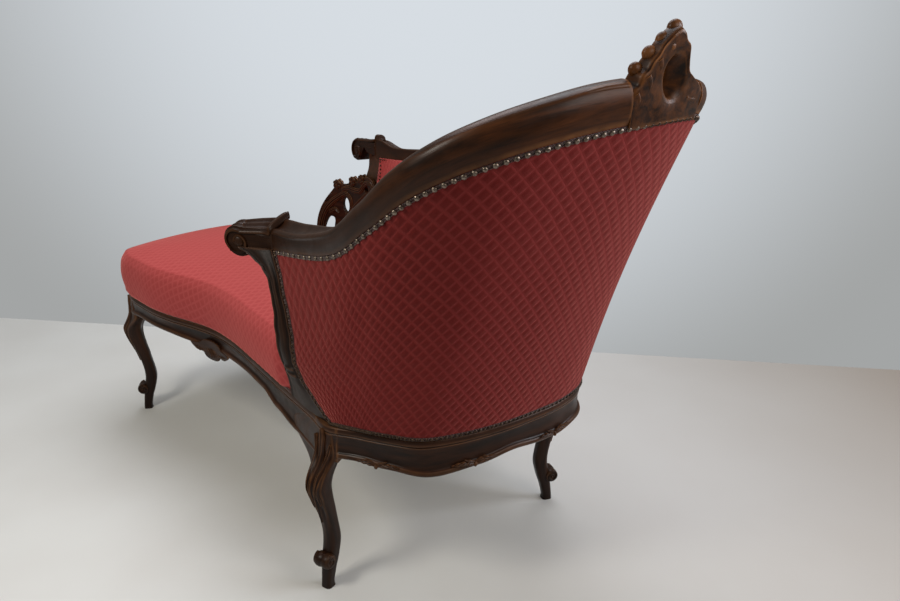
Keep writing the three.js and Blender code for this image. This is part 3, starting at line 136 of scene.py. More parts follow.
FLOWER_SHARES = ((-0.36, 1.08), (-0.04, 1.03), (0.44, 0.96))
CARTOUCHE_SHARES = (
    (-1, 0.62), (-0.72, 0.3), (-0.46, 0.34), (-0.3, 0.08), (0, 0), (0.3, 0.08), (0.46, 0.34),
    (0.72, 0.3), (1, 0.62), (0.6, 0.72), (0.34, 0.94), (0, 1), (-0.34, 0.94), (-0.6, 0.72))
DROP_PLACE_SHARES = (0.15, 0.4, 0.66)


# Arithmetic shared by every sub-assembly


def unit(vectors: np.ndarray) -> np.ndarray:
    """Scales each vector of an array to length one."""
    return vectors / np.maximum(np.linalg.norm(vectors, axis=-1, keepdims=True), 1e-9)


def dot(a: np.ndarray, b: np.ndarray) -> np.ndarray:
    """Dot product of matching vectors, kept as a column."""
    return np.sum(a * b, axis=-1, keepdims=True)


def smoothstep(value: np.ndarray, low: float, high: float) -> np.ndarray:
    """Smooth rise from 0 at low to 1 at high."""
    t = np.clip((np.asarray(value, float) - low) / (high - low), 0, 1)
    return t * t * (3 - 2 * t)


def curve_through(rows: Sequence[Sequence[float]], places: np.ndarray) -> np.ndarray:
    """Reads a smooth curve through evenly placed rows.

    Args:
        rows: values at equal steps from place 0 to place 1.
        places: where to read, from 0 to 1.

    Returns:
        One row of values for each place.
    """
    table = np.asarray(rows, float)
    last = len(table) - 1
    f = np.clip(np.asarray(places, float), 0, 1) * last
    i = np.minimum(f.astype(int), last - 1)
    t = (f - i)[:, None]
    before, here = table[np.maximum(i - 1, 0)], table[i]
    after, beyond = table[i + 1], table[np.minimum(i + 2, last)]
    t2, t3 = t * t, t * t * t
    return (here * (2 * t3 - 3 * t2 + 1) + (after - before) / 2 * (t3 - 2 * t2 + t)
            + after * (3 * t2 - 2 * t3) + (beyond - here) / 2 * (t3 - t2))


def steps_between(rows: Sequence[Sequence[float]], places: np.ndarray) -> np.ndarray:
    """Reads a table of place and value, easing from each row to the next.

    Args:
        rows: pairs of place and value, in order.
        places: where to read.

    Returns:
        The value at each place.
    """
    table = np.asarray(rows, float)
    x = np.clip(np.asarray(places, float), table[0, 0], table[-1, 0])
    i = np.clip(np.searchsorted(table[:, 0], x), 1, len(table) - 1)
    low, high = table[i - 1], table[i]
    t = (x - low[:, 0]) / (high[:, 0] - low[:, 0])
    return low[:, 1] + (high[:, 1] - low[:, 1]) * t * t * (3 - 2 * t)


def smooth_line(points: Sequence[Sequence[float]], count: int, closed: bool = False) -> np.ndarray:
    """Evenly spaced points on a smooth line through given ones.

    Args:
        points: corner points in order.
        count: how many points to return.
        closed: whether the line runs back to its start.

    Returns:
        Array of count points.
    """
    table = np.asarray(points, float)
    if closed:
        table = np.concatenate([table[-2:], table, table[:3]])
    dense = curve_through(table, np.linspace(0, 1, 40 * len(table)))
    if closed:
        last = len(table) - 1
        dense = curve_through(table, np.linspace(2 / last, (last - 2) / last, 40 * len(table)))
    gone = np.concatenate([[0], np.cumsum(np.linalg.norm(np.diff(dense, axis=0), axis=1))])
    at = np.linspace(0, gone[-1], count + 1)[:-1] if closed else np.linspace(0, gone[-1], count)
    return np.stack([np.interp(at, gone, dense[:, k]) for k in range(dense.shape[1])], axis=-1)


@dataclass
class Frames:
    """Places along a run, each with a direction into the couch and one upwards."""

    origin: np.ndarray
    across: np.ndarray
    up: np.ndarray

    def point(self, across: np.ndarray, up: np.ndarray) -> np.ndarray:
        """Points at distances across and up from each place; extra columns are allowed."""
        a, b = np.asarray(across, float), np.asarray(up, float)
        if a.ndim == 1:
            return self.origin + self.across * a[:, None] + self.up * b[:, None]
        return (self.origin[:, None] + self.across[:, None] * a[..., None]
                + self.up[:, None] * b[..., None])


# The couch's own curves, as its drawing sets them, in millimetres


@dataclass
class SeatPlan:
    """Outline of the seat frame, run anticlockwise from the front leg at the head end."""

    leg_span: float = 940
    leg_depth: float = 526
    front_sweep: float = 110
    head_bow: float = 172
    foot_bow: float = 122
    back_bow: float = 12
    rail_top: float = 335
    samples: np.ndarray = field(init=False)
    lengths: np.ndarray = field(init=False)

    def __post_init__(self) -> None:
        """Lays the outline out as a fine table of places and running lengths."""
        knots = np.array([(self.x(a), self.y(b)) for a, b in SEAT_OUTLINE_SHARES])
        pieces = []
        t = np.linspace(0, 1, 60, endpoint=False)[:, None]
        for i in range(len(knots)):
            p = [knots[(i + k) % len(knots)] for k in (-1, 0, 1, 2)]
            d = [np.linalg.norm(p[k + 1] - p[k]) ** 0.5 for k in range(3)]
            start = ((p[1] - p[0]) / d[0] - (p[2] - p[0]) / (d[0] + d[1]) + (p[2] - p[1]) / d[1]) * d[1]
            end = ((p[2] - p[1]) / d[1] - (p[3] - p[1]) / (d[1] + d[2]) + (p[3] - p[2]) / d[2]) * d[1]
            bend = -3 * p[1] + 3 * p[2] - 2 * start - end
            pieces.append(p[1] + start * t + bend * t ** 2 + (2 * p[1] - 2 * p[2] + start + end) * t ** 3)
        line = np.concatenate([*pieces, pieces[0][:1]])
        self.samples = line
        self.lengths = np.concatenate([[0], np.cumsum(np.linalg.norm(np.diff(line, axis=0), axis=1))])

    def x(self, share: float) -> float:
        """X of a share: the head bow above 0, the leg span to -1, the foot bow beyond."""
        if share >= 0:
            return share * self.head_bow
        return share * self.leg_span if share >= -1 else -self.leg_span + (share + 1) * self.foot_bow

    def y(self, share: float) -> float:
        """Y of a share: the front sweep below 0, the leg depth to 1, the back bow beyond."""
        if share < 0:
            return share * self.front_sweep
        return share * self.leg_depth if share <= 1 else self.leg_depth + (share - 1) * self.back_bow

    @property
    def length(self) -> float:
        """Length once round the outline."""
        return float(self.lengths[-1])

    def point(self, s: np.ndarray, z: float = 0) -> np.ndarray:
        """Points of the outline at running lengths s, at height z."""
        at = np.mod(np.asarray(s, float), self.length)
        xy = [np.interp(at, self.lengths, self.samples[:, k]) for k in (0, 1)]
        return np.stack([*xy, np.full(at.shape, float(z))], axis=-1)

    def outward(self, s: np.ndarray) -> np.ndarray:
        """Unit directions out of the seat at running lengths s."""
        run = self.point(np.asarray(s, float) + 1) - self.point(np.asarray(s, float) - 1)
        return unit(np.stack([run[..., 1], -run[..., 0], np.zeros(run.shape[:-1])], axis=-1))

    def nearest(self, x: float, y: float) -> float:
        """Running length of the outline's point closest to a place."""
        return float(self.lengths[np.argmin(np.hypot(self.samples[:, 0] - x, self.samples[:, 1] - y))])

    def middle(self, points: np.ndarray) -> np.ndarray:
        """Closest points of the seat's middle line, at height 0."""
        (ax, ay), (bx, by) = [(self.x(a), self.y(b)) for a, b in MIDDLE_SHARES]
        start, run = np.array([ax, ay]), np.array([bx - ax, by - ay])
        t = np.clip(((points[..., :2] - start) @ run) / (run @ run), 0, 1)
        return np.concatenate([start + t[..., None] * run, np.zeros(t.shape + (1,))], axis=-1)

    def seam(self, points: np.ndarray, stations: int = 48) -> np.ndarray:
        """Points of the middle line at even stations, so that both sides meet on them."""
        (ax, ay), (bx, by) = [(self.x(a), self.y(b)) for a, b in MIDDLE_SHARES]
        start, run = np.array([ax, ay]), np.array([bx - ax, by - ay])
        t = np.clip(((points[..., :2] - start) @ run) / (run @ run), 0, 1)
        t = np.round(t * stations) / stations
        return np.concatenate([start + t[..., None] * run, np.zeros(t.shape + (1,))], axis=-1)

    def inward(self, points: np.ndarray) -> np.ndarray:
        """Unit level directions from points towards the middle line."""
        return unit((self.middle(points) - points) * np.array([1, 1, 0]))

    def frames(self, s: np.ndarray, z: float = 0) -> Frames:
        """Upright frames on the outline, across pointing into the seat."""
        s = np.asarray(s, float)
        return Frames(self.point(s, z), -self.outward(s), np.broadcast_to(UP, s.shape + (3,)))

    def leg(self, end: str) -> float:
        """Running length at which a leg stands; end is such as 'front_head'."""
        spots = {"front_head": (0, 0), "back_head": (0, self.leg_depth),
                 "back_foot": (-self.leg_span, self.leg_depth),
                 "front_foot": (-self.leg_span, -self.front_sweep)}
        return self.nearest(*spots[end])


@dataclass
class TubBack:
    """Surface of the tub back's outer face: u runs from the front arm round to the far one."""

    plan: SeatPlan
    rise: float = 533
    head_reach: float = 380
    post_foot: float = 122
    hollow: float = 6
    rail_height: float = 54
    rail_lean_share: float = 0.5
    scroll_turn: float = 42
    scroll_turn_run: float = 26
    scroll_slope: float = 0.22
    crest_row_share: float = 0.535
    crest_half: float = 78
    gap: float = 0.3
    rows: np.ndarray = field(init=False)
    samples: np.ndarray = field(init=False)
    lengths: np.ndarray = field(init=False)

    def __post_init__(self) -> None:
        """Joins the seat outline to the top edge and measures that edge."""
        plan, rows = self.plan, []
        for bx, by, tx, ty, rise in BACK_LINE_SHARES:
            top_x = tx * self.head_reach if tx >= 0 else tx * plan.leg_span
            s = plan.nearest(plan.x(bx), plan.y(by))
            while rows and s < rows[-1][0] - plan.length / 4:
                s += plan.length
            rows.append((s, top_x, plan.y(ty), plan.rail_top + rise * self.rise))
        self.rows = np.array(rows)
        self.samples = np.linspace(0, 1, 1601)
        top = self.top_edge(self.samples)
        self.lengths = np.concatenate([[0], np.cumsum(np.linalg.norm(np.diff(top, axis=0), axis=1))])

    @property
    def length(self) -> float:
        """Length of the top edge."""
        return float(self.lengths[-1])

    @property
    def crest_middle(self) -> float:
        """Place of the crest along the top edge."""
        return float(np.interp(self.crest_row_share, self.samples, self.lengths))

    def place(self, lengths: np.ndarray) -> np.ndarray:
        """Turns lengths along the top edge into u."""
        return np.interp(lengths, self.lengths, self.samples)

    def outline_at(self, u: np.ndarray) -> np.ndarray:
        """Running length on the seat outline below each u."""
        return curve_through(self.rows, u)[:, 0]

    def bottom_edge(self, u: np.ndarray) -> np.ndarray:
        """Points where the back meets the seat rail."""
        return self.plan.point(self.outline_at(u), self.plan.rail_top + self.gap)

    def top_edge(self, u: np.ndarray) -> np.ndarray:
        """Points where the back meets the top rail."""
        return curve_through(self.rows, u)[:, 1:]

    def post_edge(self, at_start: bool, v: np.ndarray, fabric: bool) -> np.ndarray:
        """Edge line of an arm post.

        Args:
            at_start: the front post if true, the far one if false.
            v: heights from 0 at the rail to 1 at the top.
            fabric: the edge beside the fabric if true, the one towards the seat if false.

        Returns:
            Points of the edge.
        """
        shares = FRONT_POST_SHARES if at_start else BACK_POST_SHARES
        end = np.array([0.0 if at_start else 1.0])
        foot, head = self.bottom_edge(end)[0], self.top_edge(end)[0]
        row, last = curve_through(shares, v), np.array(shares[-1])
        k = 1 if fabric else 3
        miss = (head - foot)[:2] - last[1:3] * self.post_foot
        across = row[:, k:k + 2]
        if at_start and fabric:
            over = steps_between(FRONT_POST_CLOTH_SHIFTS, row[:, 0])[:, None]
            across = across + (row[:, 3:5] - across) * over
        xy = foot[:2] + across * self.post_foot + miss * np.asarray(v, float)[:, None]
        return np.concatenate([xy, (foot[2] + (head[2] - foot[2]) * row[:, :1])], axis=1)

    def point(self, u: np.ndarray, v: np.ndarray) -> np.ndarray:
        """Points of the back's outer face."""
        u, v = np.asarray(u, float), np.asarray(v, float)
        low, high = self.bottom_edge(u), self.top_edge(u)
        at = low + (high - low) * v[:, None]
        run = 2.2 / (len(BACK_LINE_SHARES) - 1)
        fades = []
        for at_start, distance in ((True, u), (False, 1 - u)):
            end = np.zeros(len(v)) if at_start else np.ones(len(v))
            straight = self.bottom_edge(end) + (self.top_edge(end) - self.bottom_edge(end)) * v[:, None]
            near = 1 - smoothstep(distance, 0, run)
            at = at + (self.post_edge(at_start, v, True) - straight) * near[:, None]
            fades.append(1 - near)
        hollow = self.hollow * np.sin(math.pi * v) * fades[0] * fades[1]
        return at + self.plan.inward(at) * hollow[:, None]

    def frames(self, u: np.ndarray, v: np.ndarray, level_foot: bool = True) -> Frames:
        """Frames of the back, across pointing into the couch and up along the rake.

        Args:
            u: places round the back.
            v: heights from 0 to 1.
            level_foot: keeps the direction across level near the seat rail.

        Returns:
            The frames.
        """
        u, v = np.asarray(u, float), np.asarray(v, float)
        at = self.point(u, v)
        rake = unit(self.point(u, np.minimum(v + 1 / 64, 1)) - self.point(u, np.maximum(v - 1 / 64, 0)))
        level = self.plan.inward(at)
        across = unit(level - rake * dot(level, rake))
        if level_foot:
            lean = smoothstep(v, 0, 0.4)[:, None]
            across = unit(level + (across - level) * lean)
        return Frames(at, across, rake)

    def top_frames(self, lengths: np.ndarray) -> Frames:
        """Frames along the top edge by true length; past the front end the line turns outwards."""
        lengths = np.asarray(lengths, float)
        inside = np.clip(lengths, 0, self.length)
        u = self.place(inside)
        found = self.frames(u, np.ones(len(u)), level_foot=False)
        run = unit(self.top_edge(np.minimum(u + 1 / 400, 1)) - self.top_edge(np.maximum(u - 1 / 400, 0)))
        up = found.up + (UP - found.up) * (1 - self.rail_lean_share)
        up = unit(up - run * dot(up, run))
        across = found.across - run * dot(found.across, run)
        across = unit(across - up * dot(across, up))
        away = unit(np.cross(across, up))
        heart = self.top_edge(np.array([0.5]))
        away = np.where(dot(away, heart - found.origin) > 0, -away, away)
        beyond = np.abs(lengths - inside)
        front = lengths < 0
        bent = np.minimum(beyond, self.scroll_turn_run)
        turn = np.where(front, math.radians(self.scroll_turn) * bent / self.scroll_turn_run, 0)
        straight = beyond - bent
        origin = (found.origin
                  + away * (bent * np.cos(turn / 2) + straight * np.cos(turn))[:, None]
                  - across * (bent * np.sin(turn / 2) + straight * np.sin(turn))[:, None]
                  + UP * (np.where(front, beyond, 0) * self.scroll_slope)[:, None])
        across = across * np.cos(turn)[:, None] + away * np.sin(turn)[:, None]
        return Frames(origin, across, up)

    def rail_height_at(self, lengths: np.ndarray) -> np.ndarray:
        """Height of the top rail's outer face at lengths along it."""
        rows = [[share * self.rail_height] for share in TOP_RAIL_HEIGHT_SHARES]
        return curve_through(rows, self.place(np.clip(lengths, 0, self.length)))[:, 0]

    def on_rail(self, x: np.ndarray, y: np.ndarray, d: np.ndarray) -> np.ndarray:
        """Lays flat carving on the top edge: x along it, y up, d into the couch."""
        shape = np.shape(x)
        f = self.top_frames(np.ravel(x))
        return f.point(np.ravel(d), np.ravel(y)).reshape(shape + (3,))


# Mesh making


def run_lengths(grid: np.ndarray, closed: bool) -> np.ndarray:
    """Lengths over a grid of points, for laying a pattern on it in metres.

    Args:
        grid: rows by columns of points in millimetres.
        closed: whether each row runs back to its first column.

    Returns:
        Rows by columns of (length along the columns, length along a row).
    """
    down = np.linalg.norm(np.diff(grid, axis=0), axis=2).mean(axis=1)
    wide = np.concatenate([grid, grid[:, :1]], axis=1) if closed else grid
    along = np.linalg.norm(np.diff(wide, axis=1), axis=2).mean(axis=0)
    u = np.concatenate([[0], np.cumsum(down)])
    v = np.concatenate([[0], np.cumsum(along)])
    return np.stack(np.meshgrid(u, v, indexing="ij"), axis=-1) * MM


class Draft:
    """Vertices, faces and pattern places of one piece, gathered in millimetres."""

    origin: np.ndarray = np.zeros(3)

    def __init__(self) -> None:
        """Starts an empty piece."""
        self.points: list[np.ndarray] = []
        self.faces: list[list[int]] = []
        self.corners: list[np.ndarray] = []
        self.count = 0

    def rings(self, grid: np.ndarray, closed: bool = True, caps: bool = True,
              uv: np.ndarray | None = None) -> "Draft":
        """Adds a skin through rows of points.

        Args:
            grid: rows by columns of points.
            closed: whether each row is a closed ring.
            caps: whether the first and last rings are filled.
            uv: pattern places in metres, one column more than grid where rings are closed.

        Returns:
            This draft.
        """
        rows, columns = grid.shape[:2]
        places = run_lengths(grid, closed) if uv is None else uv
        start = self.count
        self.points.append(grid.reshape(-1, 3))
        self.count += rows * columns
        r = np.arange(rows - 1)[:, None]
        c = np.arange(columns if closed else columns - 1)[None, :]
        after = (c + 1) % columns
        quads = np.stack([r * columns + c, r * columns + after,
                          (r + 1) * columns + after, (r + 1) * columns + c], axis=-1) + start
        self.faces += quads.reshape(-1, 4).tolist()
        self.corners.append(np.stack([places[:-1, :-1], places[:-1, 1:], places[1:, 1:],
                                      places[1:, :-1]], axis=-2).reshape(-1, 2))
        if caps:
            for row in (0, rows - 1):
                self.faces.append(list(range(start + row * columns, start + (row + 1) * columns)))
                self.corners.append(places[row, :columns])
        return self

    def add(self, points: np.ndarray, faces: Iterable[Sequence[int]]) -> "Draft":
        """Adds loose faces over points, with the pattern laid by their plan places."""
        for face in faces:
            self.faces.append([self.count + int(i) for i in face])
            self.corners.append(points[list(face)][:, :2] * MM)
        self.points.append(points)
        self.count += len(points)
        return self

    def make(self, name: str, finish: bpy.types.Material, sharp: float = 40,
             weld: float = 0) -> bpy.types.Object:
        """Turns the draft into a dressed Blender object that rides on the couch.

        Args:
            name: the piece's name.
            finish: its material.
            sharp: edges above this many degrees stay crisp.
            weld: points closer than this many millimetres are joined.

        Returns:
            The object.
        """
        mesh = bpy.data.meshes.new(name)
        mesh.from_pydata((np.concatenate(self.points) + self.origin) * MM, [], self.faces)
        layer = mesh.uv_layers.new(name="UVMap")
        layer.data.foreach_set("uv", np.concatenate(self.corners).astype(np.float32).ravel())
        work = bmesh.new()
        work.from_mesh(mesh)
        if weld:
            bmesh.ops.remove_doubles(work, verts=work.verts, dist=weld * MM)
        bmesh.ops.recalc_face_normals(work, faces=work.faces)
        work.to_mesh(mesh)
        work.free()
        return dress_mesh(mesh, name, finish, sharp)


def dress_mesh(mesh: bpy.types.Mesh, name: str, finish: bpy.types.Material,
               sharp: float) -> bpy.types.Object:
    """Shades a mesh smooth, stores how far its points stand proud, for worn and highlit edges and for painted
    shade in hollows, and links it as a piece of the couch.
    """
    mesh.shade_smooth()
    mesh.set_sharp_from_angle(angle=math.radians(sharp))
    mesh.materials.append(finish)
    mark_proudness(mesh)
    piece = bpy.data.objects.new(name, mesh)
    bpy.context.scene.collection.objects.link(piece)
    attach(piece, "root")
    return piece


def mark_proudness(mesh: bpy.types.Mesh) -> None:
    """Stores how far each point stands proud of its neighbours: proud edges are later painted lighter, worn wood
    and painted highlight, and hollows darker, painted shade.
    """
    count = len(mesh.vertices)
    spots, normals = np.zeros(count * 3), np.zeros(count * 3)
    mesh.vertices.foreach_get("co", spots)
    mesh.vertices.foreach_get("normal", normals)
    pairs = np.zeros(len(mesh.edges) * 2, int)
    mesh.edges.foreach_get("vertices", pairs)
    spots, normals, pairs = spots.reshape(-1, 3), normals.reshape(-1, 3), pairs.reshape(-1, 2)
    a, b = pairs[:, 0], pairs[:, 1]
    run = unit(spots[b] - spots[a])
    proud = (np.bincount(a, -dot(run, normals[a])[:, 0], count)
             + np.bincount(b, dot(run, normals[b])[:, 0], count))
    met = np.maximum(np.bincount(a, minlength=count) + np.bincount(b, minlength=count), 1)
    layer = mesh.attributes.new("proudness", "FLOAT", "POINT")
    layer.data.foreach_set("value", (proud / met).astype(np.float32))


# Finishes


def linear(code: str) -> tuple[float, float, float, float]:
    """Turns an sRGB hex colour into linear values with full opacity."""
    parts = [int(code[i:i + 2], 16) / 255 for i in (1, 3, 5)]
    low = [p / 12.92 if p <= 0.04045 else ((p + 0.055) / 1.055) ** 2.4 for p in parts]
    return (low[0], low[1], low[2], 1.0)


def add_node(tree: bpy.types.NodeTree, kind: str, sockets: dict | None = None,
             **settings: object) -> bpy.types.Node:
    """Adds a node with its settings, its fixed values and its links.

    Args:
        tree: the material's or world's nodes.
        kind: the node's type.
        sockets: input name or number to a value or to the output that feeds it.
        settings: attributes of the node itself.

    Returns:
        The node.
    """
    node = tree.nodes.new(kind)
    for key, value in settings.items():
        setattr(node, key, value)
    for key, value in (sockets or {}).items():
        if isinstance(value, bpy.types.NodeSocket):
            tree.links.new(value, node.inputs[key])
        else:
            node.inputs[key].default_value = value
    return node


def blank_material(name: str, sample: str) -> tuple[bpy.types.Material, bpy.types.NodeTree]:
    """Starts a node material; sample is the plain colour shown in lists."""
    material = bpy.data.materials.new(name)
    material.use_nodes = True
    material.diffuse_color = linear(sample)
    material.node_tree.nodes.clear()
    return material, material.node_tree


class Coordinates(Enum):
    """What a finish's pattern is laid by."""

    RUN = "UV"
    BODY = "Object"


@dataclass(frozen=True)
class Walnut:
    """Walnut, carved, stained and french polished, with soft gloss; proud edges are painted lighter and warmer,
    worn wood and painted highlight, and hollows and low parts darker, painted shade.
    """

    name: str
    deep: str = "#1f120d"
    body: str = "#3f2619"
    # Colour towards which proud edges are painted: worn wood and painted highlight together.
    rubbed_highlight: str = "#7a4c2d"
    figure_width: float = 14  # mm between bands of the figure
    pore_width: float = 1.6  # mm; real pores are finer and are drawn as coarse as they still show
    pore_length: float = 26  # mm
    gloss: float = 0.34
    polish: float = 0.03
    shade_below: float = 0.0  # metres above the floor under which the wood is painted darker: painted shade
    laid_by: Coordinates = Coordinates.RUN

    def build(self) -> bpy.types.Material:
        """Builds the material."""
        material, tree = blank_material(self.name, self.body)
        spot = add_node(tree, "ShaderNodeTexCoord").outputs[self.laid_by.value]
        figure = add_node(tree, "ShaderNodeTexNoise", {
            "Vector": add_node(tree, "ShaderNodeMapping", {
                "Vector": spot, "Scale": (1000 / self.figure_width / 9, 1000 / self.figure_width,
                                          1000 / self.figure_width)}).outputs[0],
            "Scale": 1.0, "Detail": 4.0, "Roughness": 0.6, "Distortion": 0.5})
        pores = add_node(tree, "ShaderNodeTexNoise", {
            "Vector": add_node(tree, "ShaderNodeMapping", {
                "Vector": spot, "Scale": (1000 / self.pore_length, 1000 / self.pore_width,
                                          1000 / self.pore_width)}).outputs[0],
            "Scale": 1.0, "Detail": 2.0})
        wood = add_node(tree, "ShaderNodeMapRange", {
            "Value": figure.outputs["Fac"], "From Min": 0.34, "From Max": 0.68})
        ground = add_node(tree, "ShaderNodeMix", {
            0: wood.outputs[0], 6: linear(self.deep), 7: linear(self.body)}, data_type="RGBA")
        pore = add_node(tree, "ShaderNodeMapRange", {
            "Value": pores.outputs["Fac"], "From Min": 0.56, "From Max": 0.7, "To Max": 0.55})
        grained = add_node(tree, "ShaderNodeMix", {
            0: pore.outputs[0], 6: ground.outputs[2], 7: linear(self.deep)}, data_type="RGBA")
        # How far each point stands proud; it drives the painted highlight on edges and the painted shade in
        # hollows.
        proudness = add_node(tree, "ShaderNodeAttribute", attribute_name="proudness").outputs["Fac"]
        scuffs = add_node(tree, "ShaderNodeTexNoise", {
            "Vector": add_node(tree, "ShaderNodeTexCoord").outputs["Object"],
            "Scale": 38.0, "Detail": 3.0})
        # Proud edges painted lighter: worn wood and painted highlight, broken up by scuffs.
        rubbed_highlight = add_node(tree, "ShaderNodeMapRange", {
            "Value": proudness, "From Min": 0.03, "From Max": 0.24, "To Max": 0.8})
        broken = add_node(tree, "ShaderNodeMath", {
            0: rubbed_highlight.outputs[0], 1: add_node(tree, "ShaderNodeMapRange", {
                "Value": scuffs.outputs["Fac"], "From Min": 0.3, "From Max": 0.62,
                "To Min": 0.35}).outputs[0]}, operation="MULTIPLY")
        edged = add_node(tree, "ShaderNodeMix", {
            0: broken.outputs[0], 6: grained.outputs[2], 7: linear(self.rubbed_highlight)}, data_type="RGBA")
        # Hollows painted darker towards the deep colour: painted shade.
        hollow_shade = add_node(tree, "ShaderNodeMapRange", {
            "Value": proudness, "From Min": -0.02, "From Max": -0.2, "To Max": 0.85})
        hollow_shaded = add_node(tree, "ShaderNodeMix", {
            0: hollow_shade.outputs[0], 6: edged.outputs[2], 7: linear(self.deep)}, data_type="RGBA")
        # Wood low down painted darker towards the deep colour: painted shade.
        level = add_node(tree, "ShaderNodeSeparateXYZ", {
            0: add_node(tree, "ShaderNodeTexCoord").outputs["Object"]}).outputs[2]
        low_shade = add_node(tree, "ShaderNodeMapRange", {
            "Value": level, "From Min": self.shade_below, "From Max": self.shade_below + 0.24,
            "To Min": 0.8, "To Max": 0.0})
        low_shaded = add_node(tree, "ShaderNodeMix", {
            0: low_shade.outputs[0], 6: hollow_shaded.outputs[2], 7: linear(self.deep)}, data_type="RGBA")
        rough = add_node(tree, "ShaderNodeMapRange", {
            "Value": scuffs.outputs["Fac"], "From Min": 0.25, "From Max": 0.75,
            "To Min": self.gloss - 0.06, "To Max": self.gloss + 0.14})
        relief = add_node(tree, "ShaderNodeBump", {
            "Height": pores.outputs["Fac"], "Strength": 0.25, "Distance": 0.0006})
        shader = add_node(tree, "ShaderNodeBsdfPrincipled", {
            "Base Color": low_shaded.outputs[2], "Roughness": rough.outputs[0],
            "Normal": relief.outputs[0], "Specular IOR Level": 0.15,
            "Coat Weight": self.polish, "Coat Roughness": 0.22})
        add_node(tree, "ShaderNodeOutputMaterial", {"Surface": shader.outputs[0]})
        return material


@dataclass(frozen=True)
class RoseCloth:
    """Rose cut velvet: deep lozenges of pile that go pale at a glancing angle, in a flat pink lattice."""

    name: str
    # The default colours are the back's: the cloth painted darker, painted shade, where the outer back faces away
    # from the light.
    lattice: str = "#752523"
    pile: str = "#651613"
    fleck: str = "#551311"
    bloom: str = "#f08d84"
    width: float = 22  # mm across one lozenge
    height: float = 26  # mm up one lozenge
    line_share: float = 0.1
    puff: float = 1.4  # mm that the pile stands up
    yarn: float = 1.4  # mm; the real pile is finer and is drawn as coarse as it still shows

    def build(self) -> bpy.types.Material:
        """Builds the material."""
        material, tree = blank_material(self.name, self.pile)
        spot = add_node(tree, "ShaderNodeTexCoord").outputs["UV"]
        sway = add_node(tree, "ShaderNodeTexNoise", {"Vector": spot, "Scale": 8.0, "Detail": 1.0})
        wavy = add_node(tree, "ShaderNodeVectorMath", {
            0: sway.outputs["Color"], 1: (0.006, 0.006, 0), 2: spot}, operation="MULTIPLY_ADD")
        parts = add_node(tree, "ShaderNodeSeparateXYZ", {0: wavy.outputs[0]})
        across = add_node(tree, "ShaderNodeMath", {0: parts.outputs[0], 1: 1000 / self.width},
                          operation="MULTIPLY").outputs[0]
        along = add_node(tree, "ShaderNodeMath", {0: parts.outputs[1], 1: 1000 / self.height},
                         operation="MULTIPLY").outputs[0]
        sides = [add_node(tree, "ShaderNodeMath", {
            0: add_node(tree, "ShaderNodeMath", {0: across, 1: along}, operation=way).outputs[0],
            1: 0.5}, operation="PINGPONG").outputs[0] for way in ("ADD", "SUBTRACT")]
        nearest = add_node(tree, "ShaderNodeMath", {0: sides[0], 1: sides[1]}, operation="MINIMUM")
        piled = add_node(tree, "ShaderNodeMapRange", {
            "Value": nearest.outputs[0], "From Min": self.line_share * 0.5,
            "From Max": self.line_share * 2.2}, interpolation_type="SMOOTHSTEP").outputs[0]
        yarn = add_node(tree, "ShaderNodeTexNoise", {
            "Vector": spot, "Scale": 1000 / self.yarn, "Detail": 2.0}).outputs["Fac"]
        drift = add_node(tree, "ShaderNodeTexNoise", {
            "Vector": add_node(tree, "ShaderNodeTexCoord").outputs["Object"], "Scale": 4.0,
            "Detail": 3.0}).outputs["Fac"]
        flecked = add_node(tree, "ShaderNodeMix", {
            0: add_node(tree, "ShaderNodeMapRange", {
                "Value": yarn, "From Min": 0.38, "From Max": 0.72, "To Max": 0.75}).outputs[0],
            6: linear(self.pile), 7: linear(self.fleck)}, data_type="RGBA")
        brushed = add_node(tree, "ShaderNodeMix", {
            0: add_node(tree, "ShaderNodeMapRange", {
                "Value": drift, "From Min": 0.4, "From Max": 0.7, "To Max": 0.3}).outputs[0],
            6: flecked.outputs[2], 7: linear(self.lattice)}, data_type="RGBA")
        colour = add_node(tree, "ShaderNodeMix", {
            0: piled, 6: linear(self.lattice), 7: brushed.outputs[2]}, data_type="RGBA")
        dome = add_node(tree, "ShaderNodeMath", {
            0: add_node(tree, "ShaderNodeMath", {0: sides[0], 1: sides[1]},
                        operation="MULTIPLY").outputs[0], 1: 0.5}, operation="POWER")
        height = add_node(tree, "ShaderNodeMath", {
            0: yarn, 1: 0.12, 2: dome.outputs[0]}, operation="MULTIPLY_ADD")
        relief = add_node(tree, "ShaderNodeBump", {
            "Height": height.outputs[0], "Strength": 1.0, "Distance": self.puff * 2 * MM})
        sheen = add_node(tree, "ShaderNodeMapRange", {
            "Value": piled, "To Min": 0.5, "To Max": 0.95})
        shader = add_node(tree, "ShaderNodeBsdfPrincipled", {
            "Base Color": colour.outputs[2], "Roughness": 0.85, "Normal": relief.outputs[0],
            "Sheen Weight": sheen.outputs[0], "Sheen Roughness": 0.3,
            "Sheen Tint": linear(self.bloom), "Specular IOR Level": 0.2})
        add_node(tree, "ShaderNodeOutputMaterial", {"Surface": shader.outputs[0]})
        return material


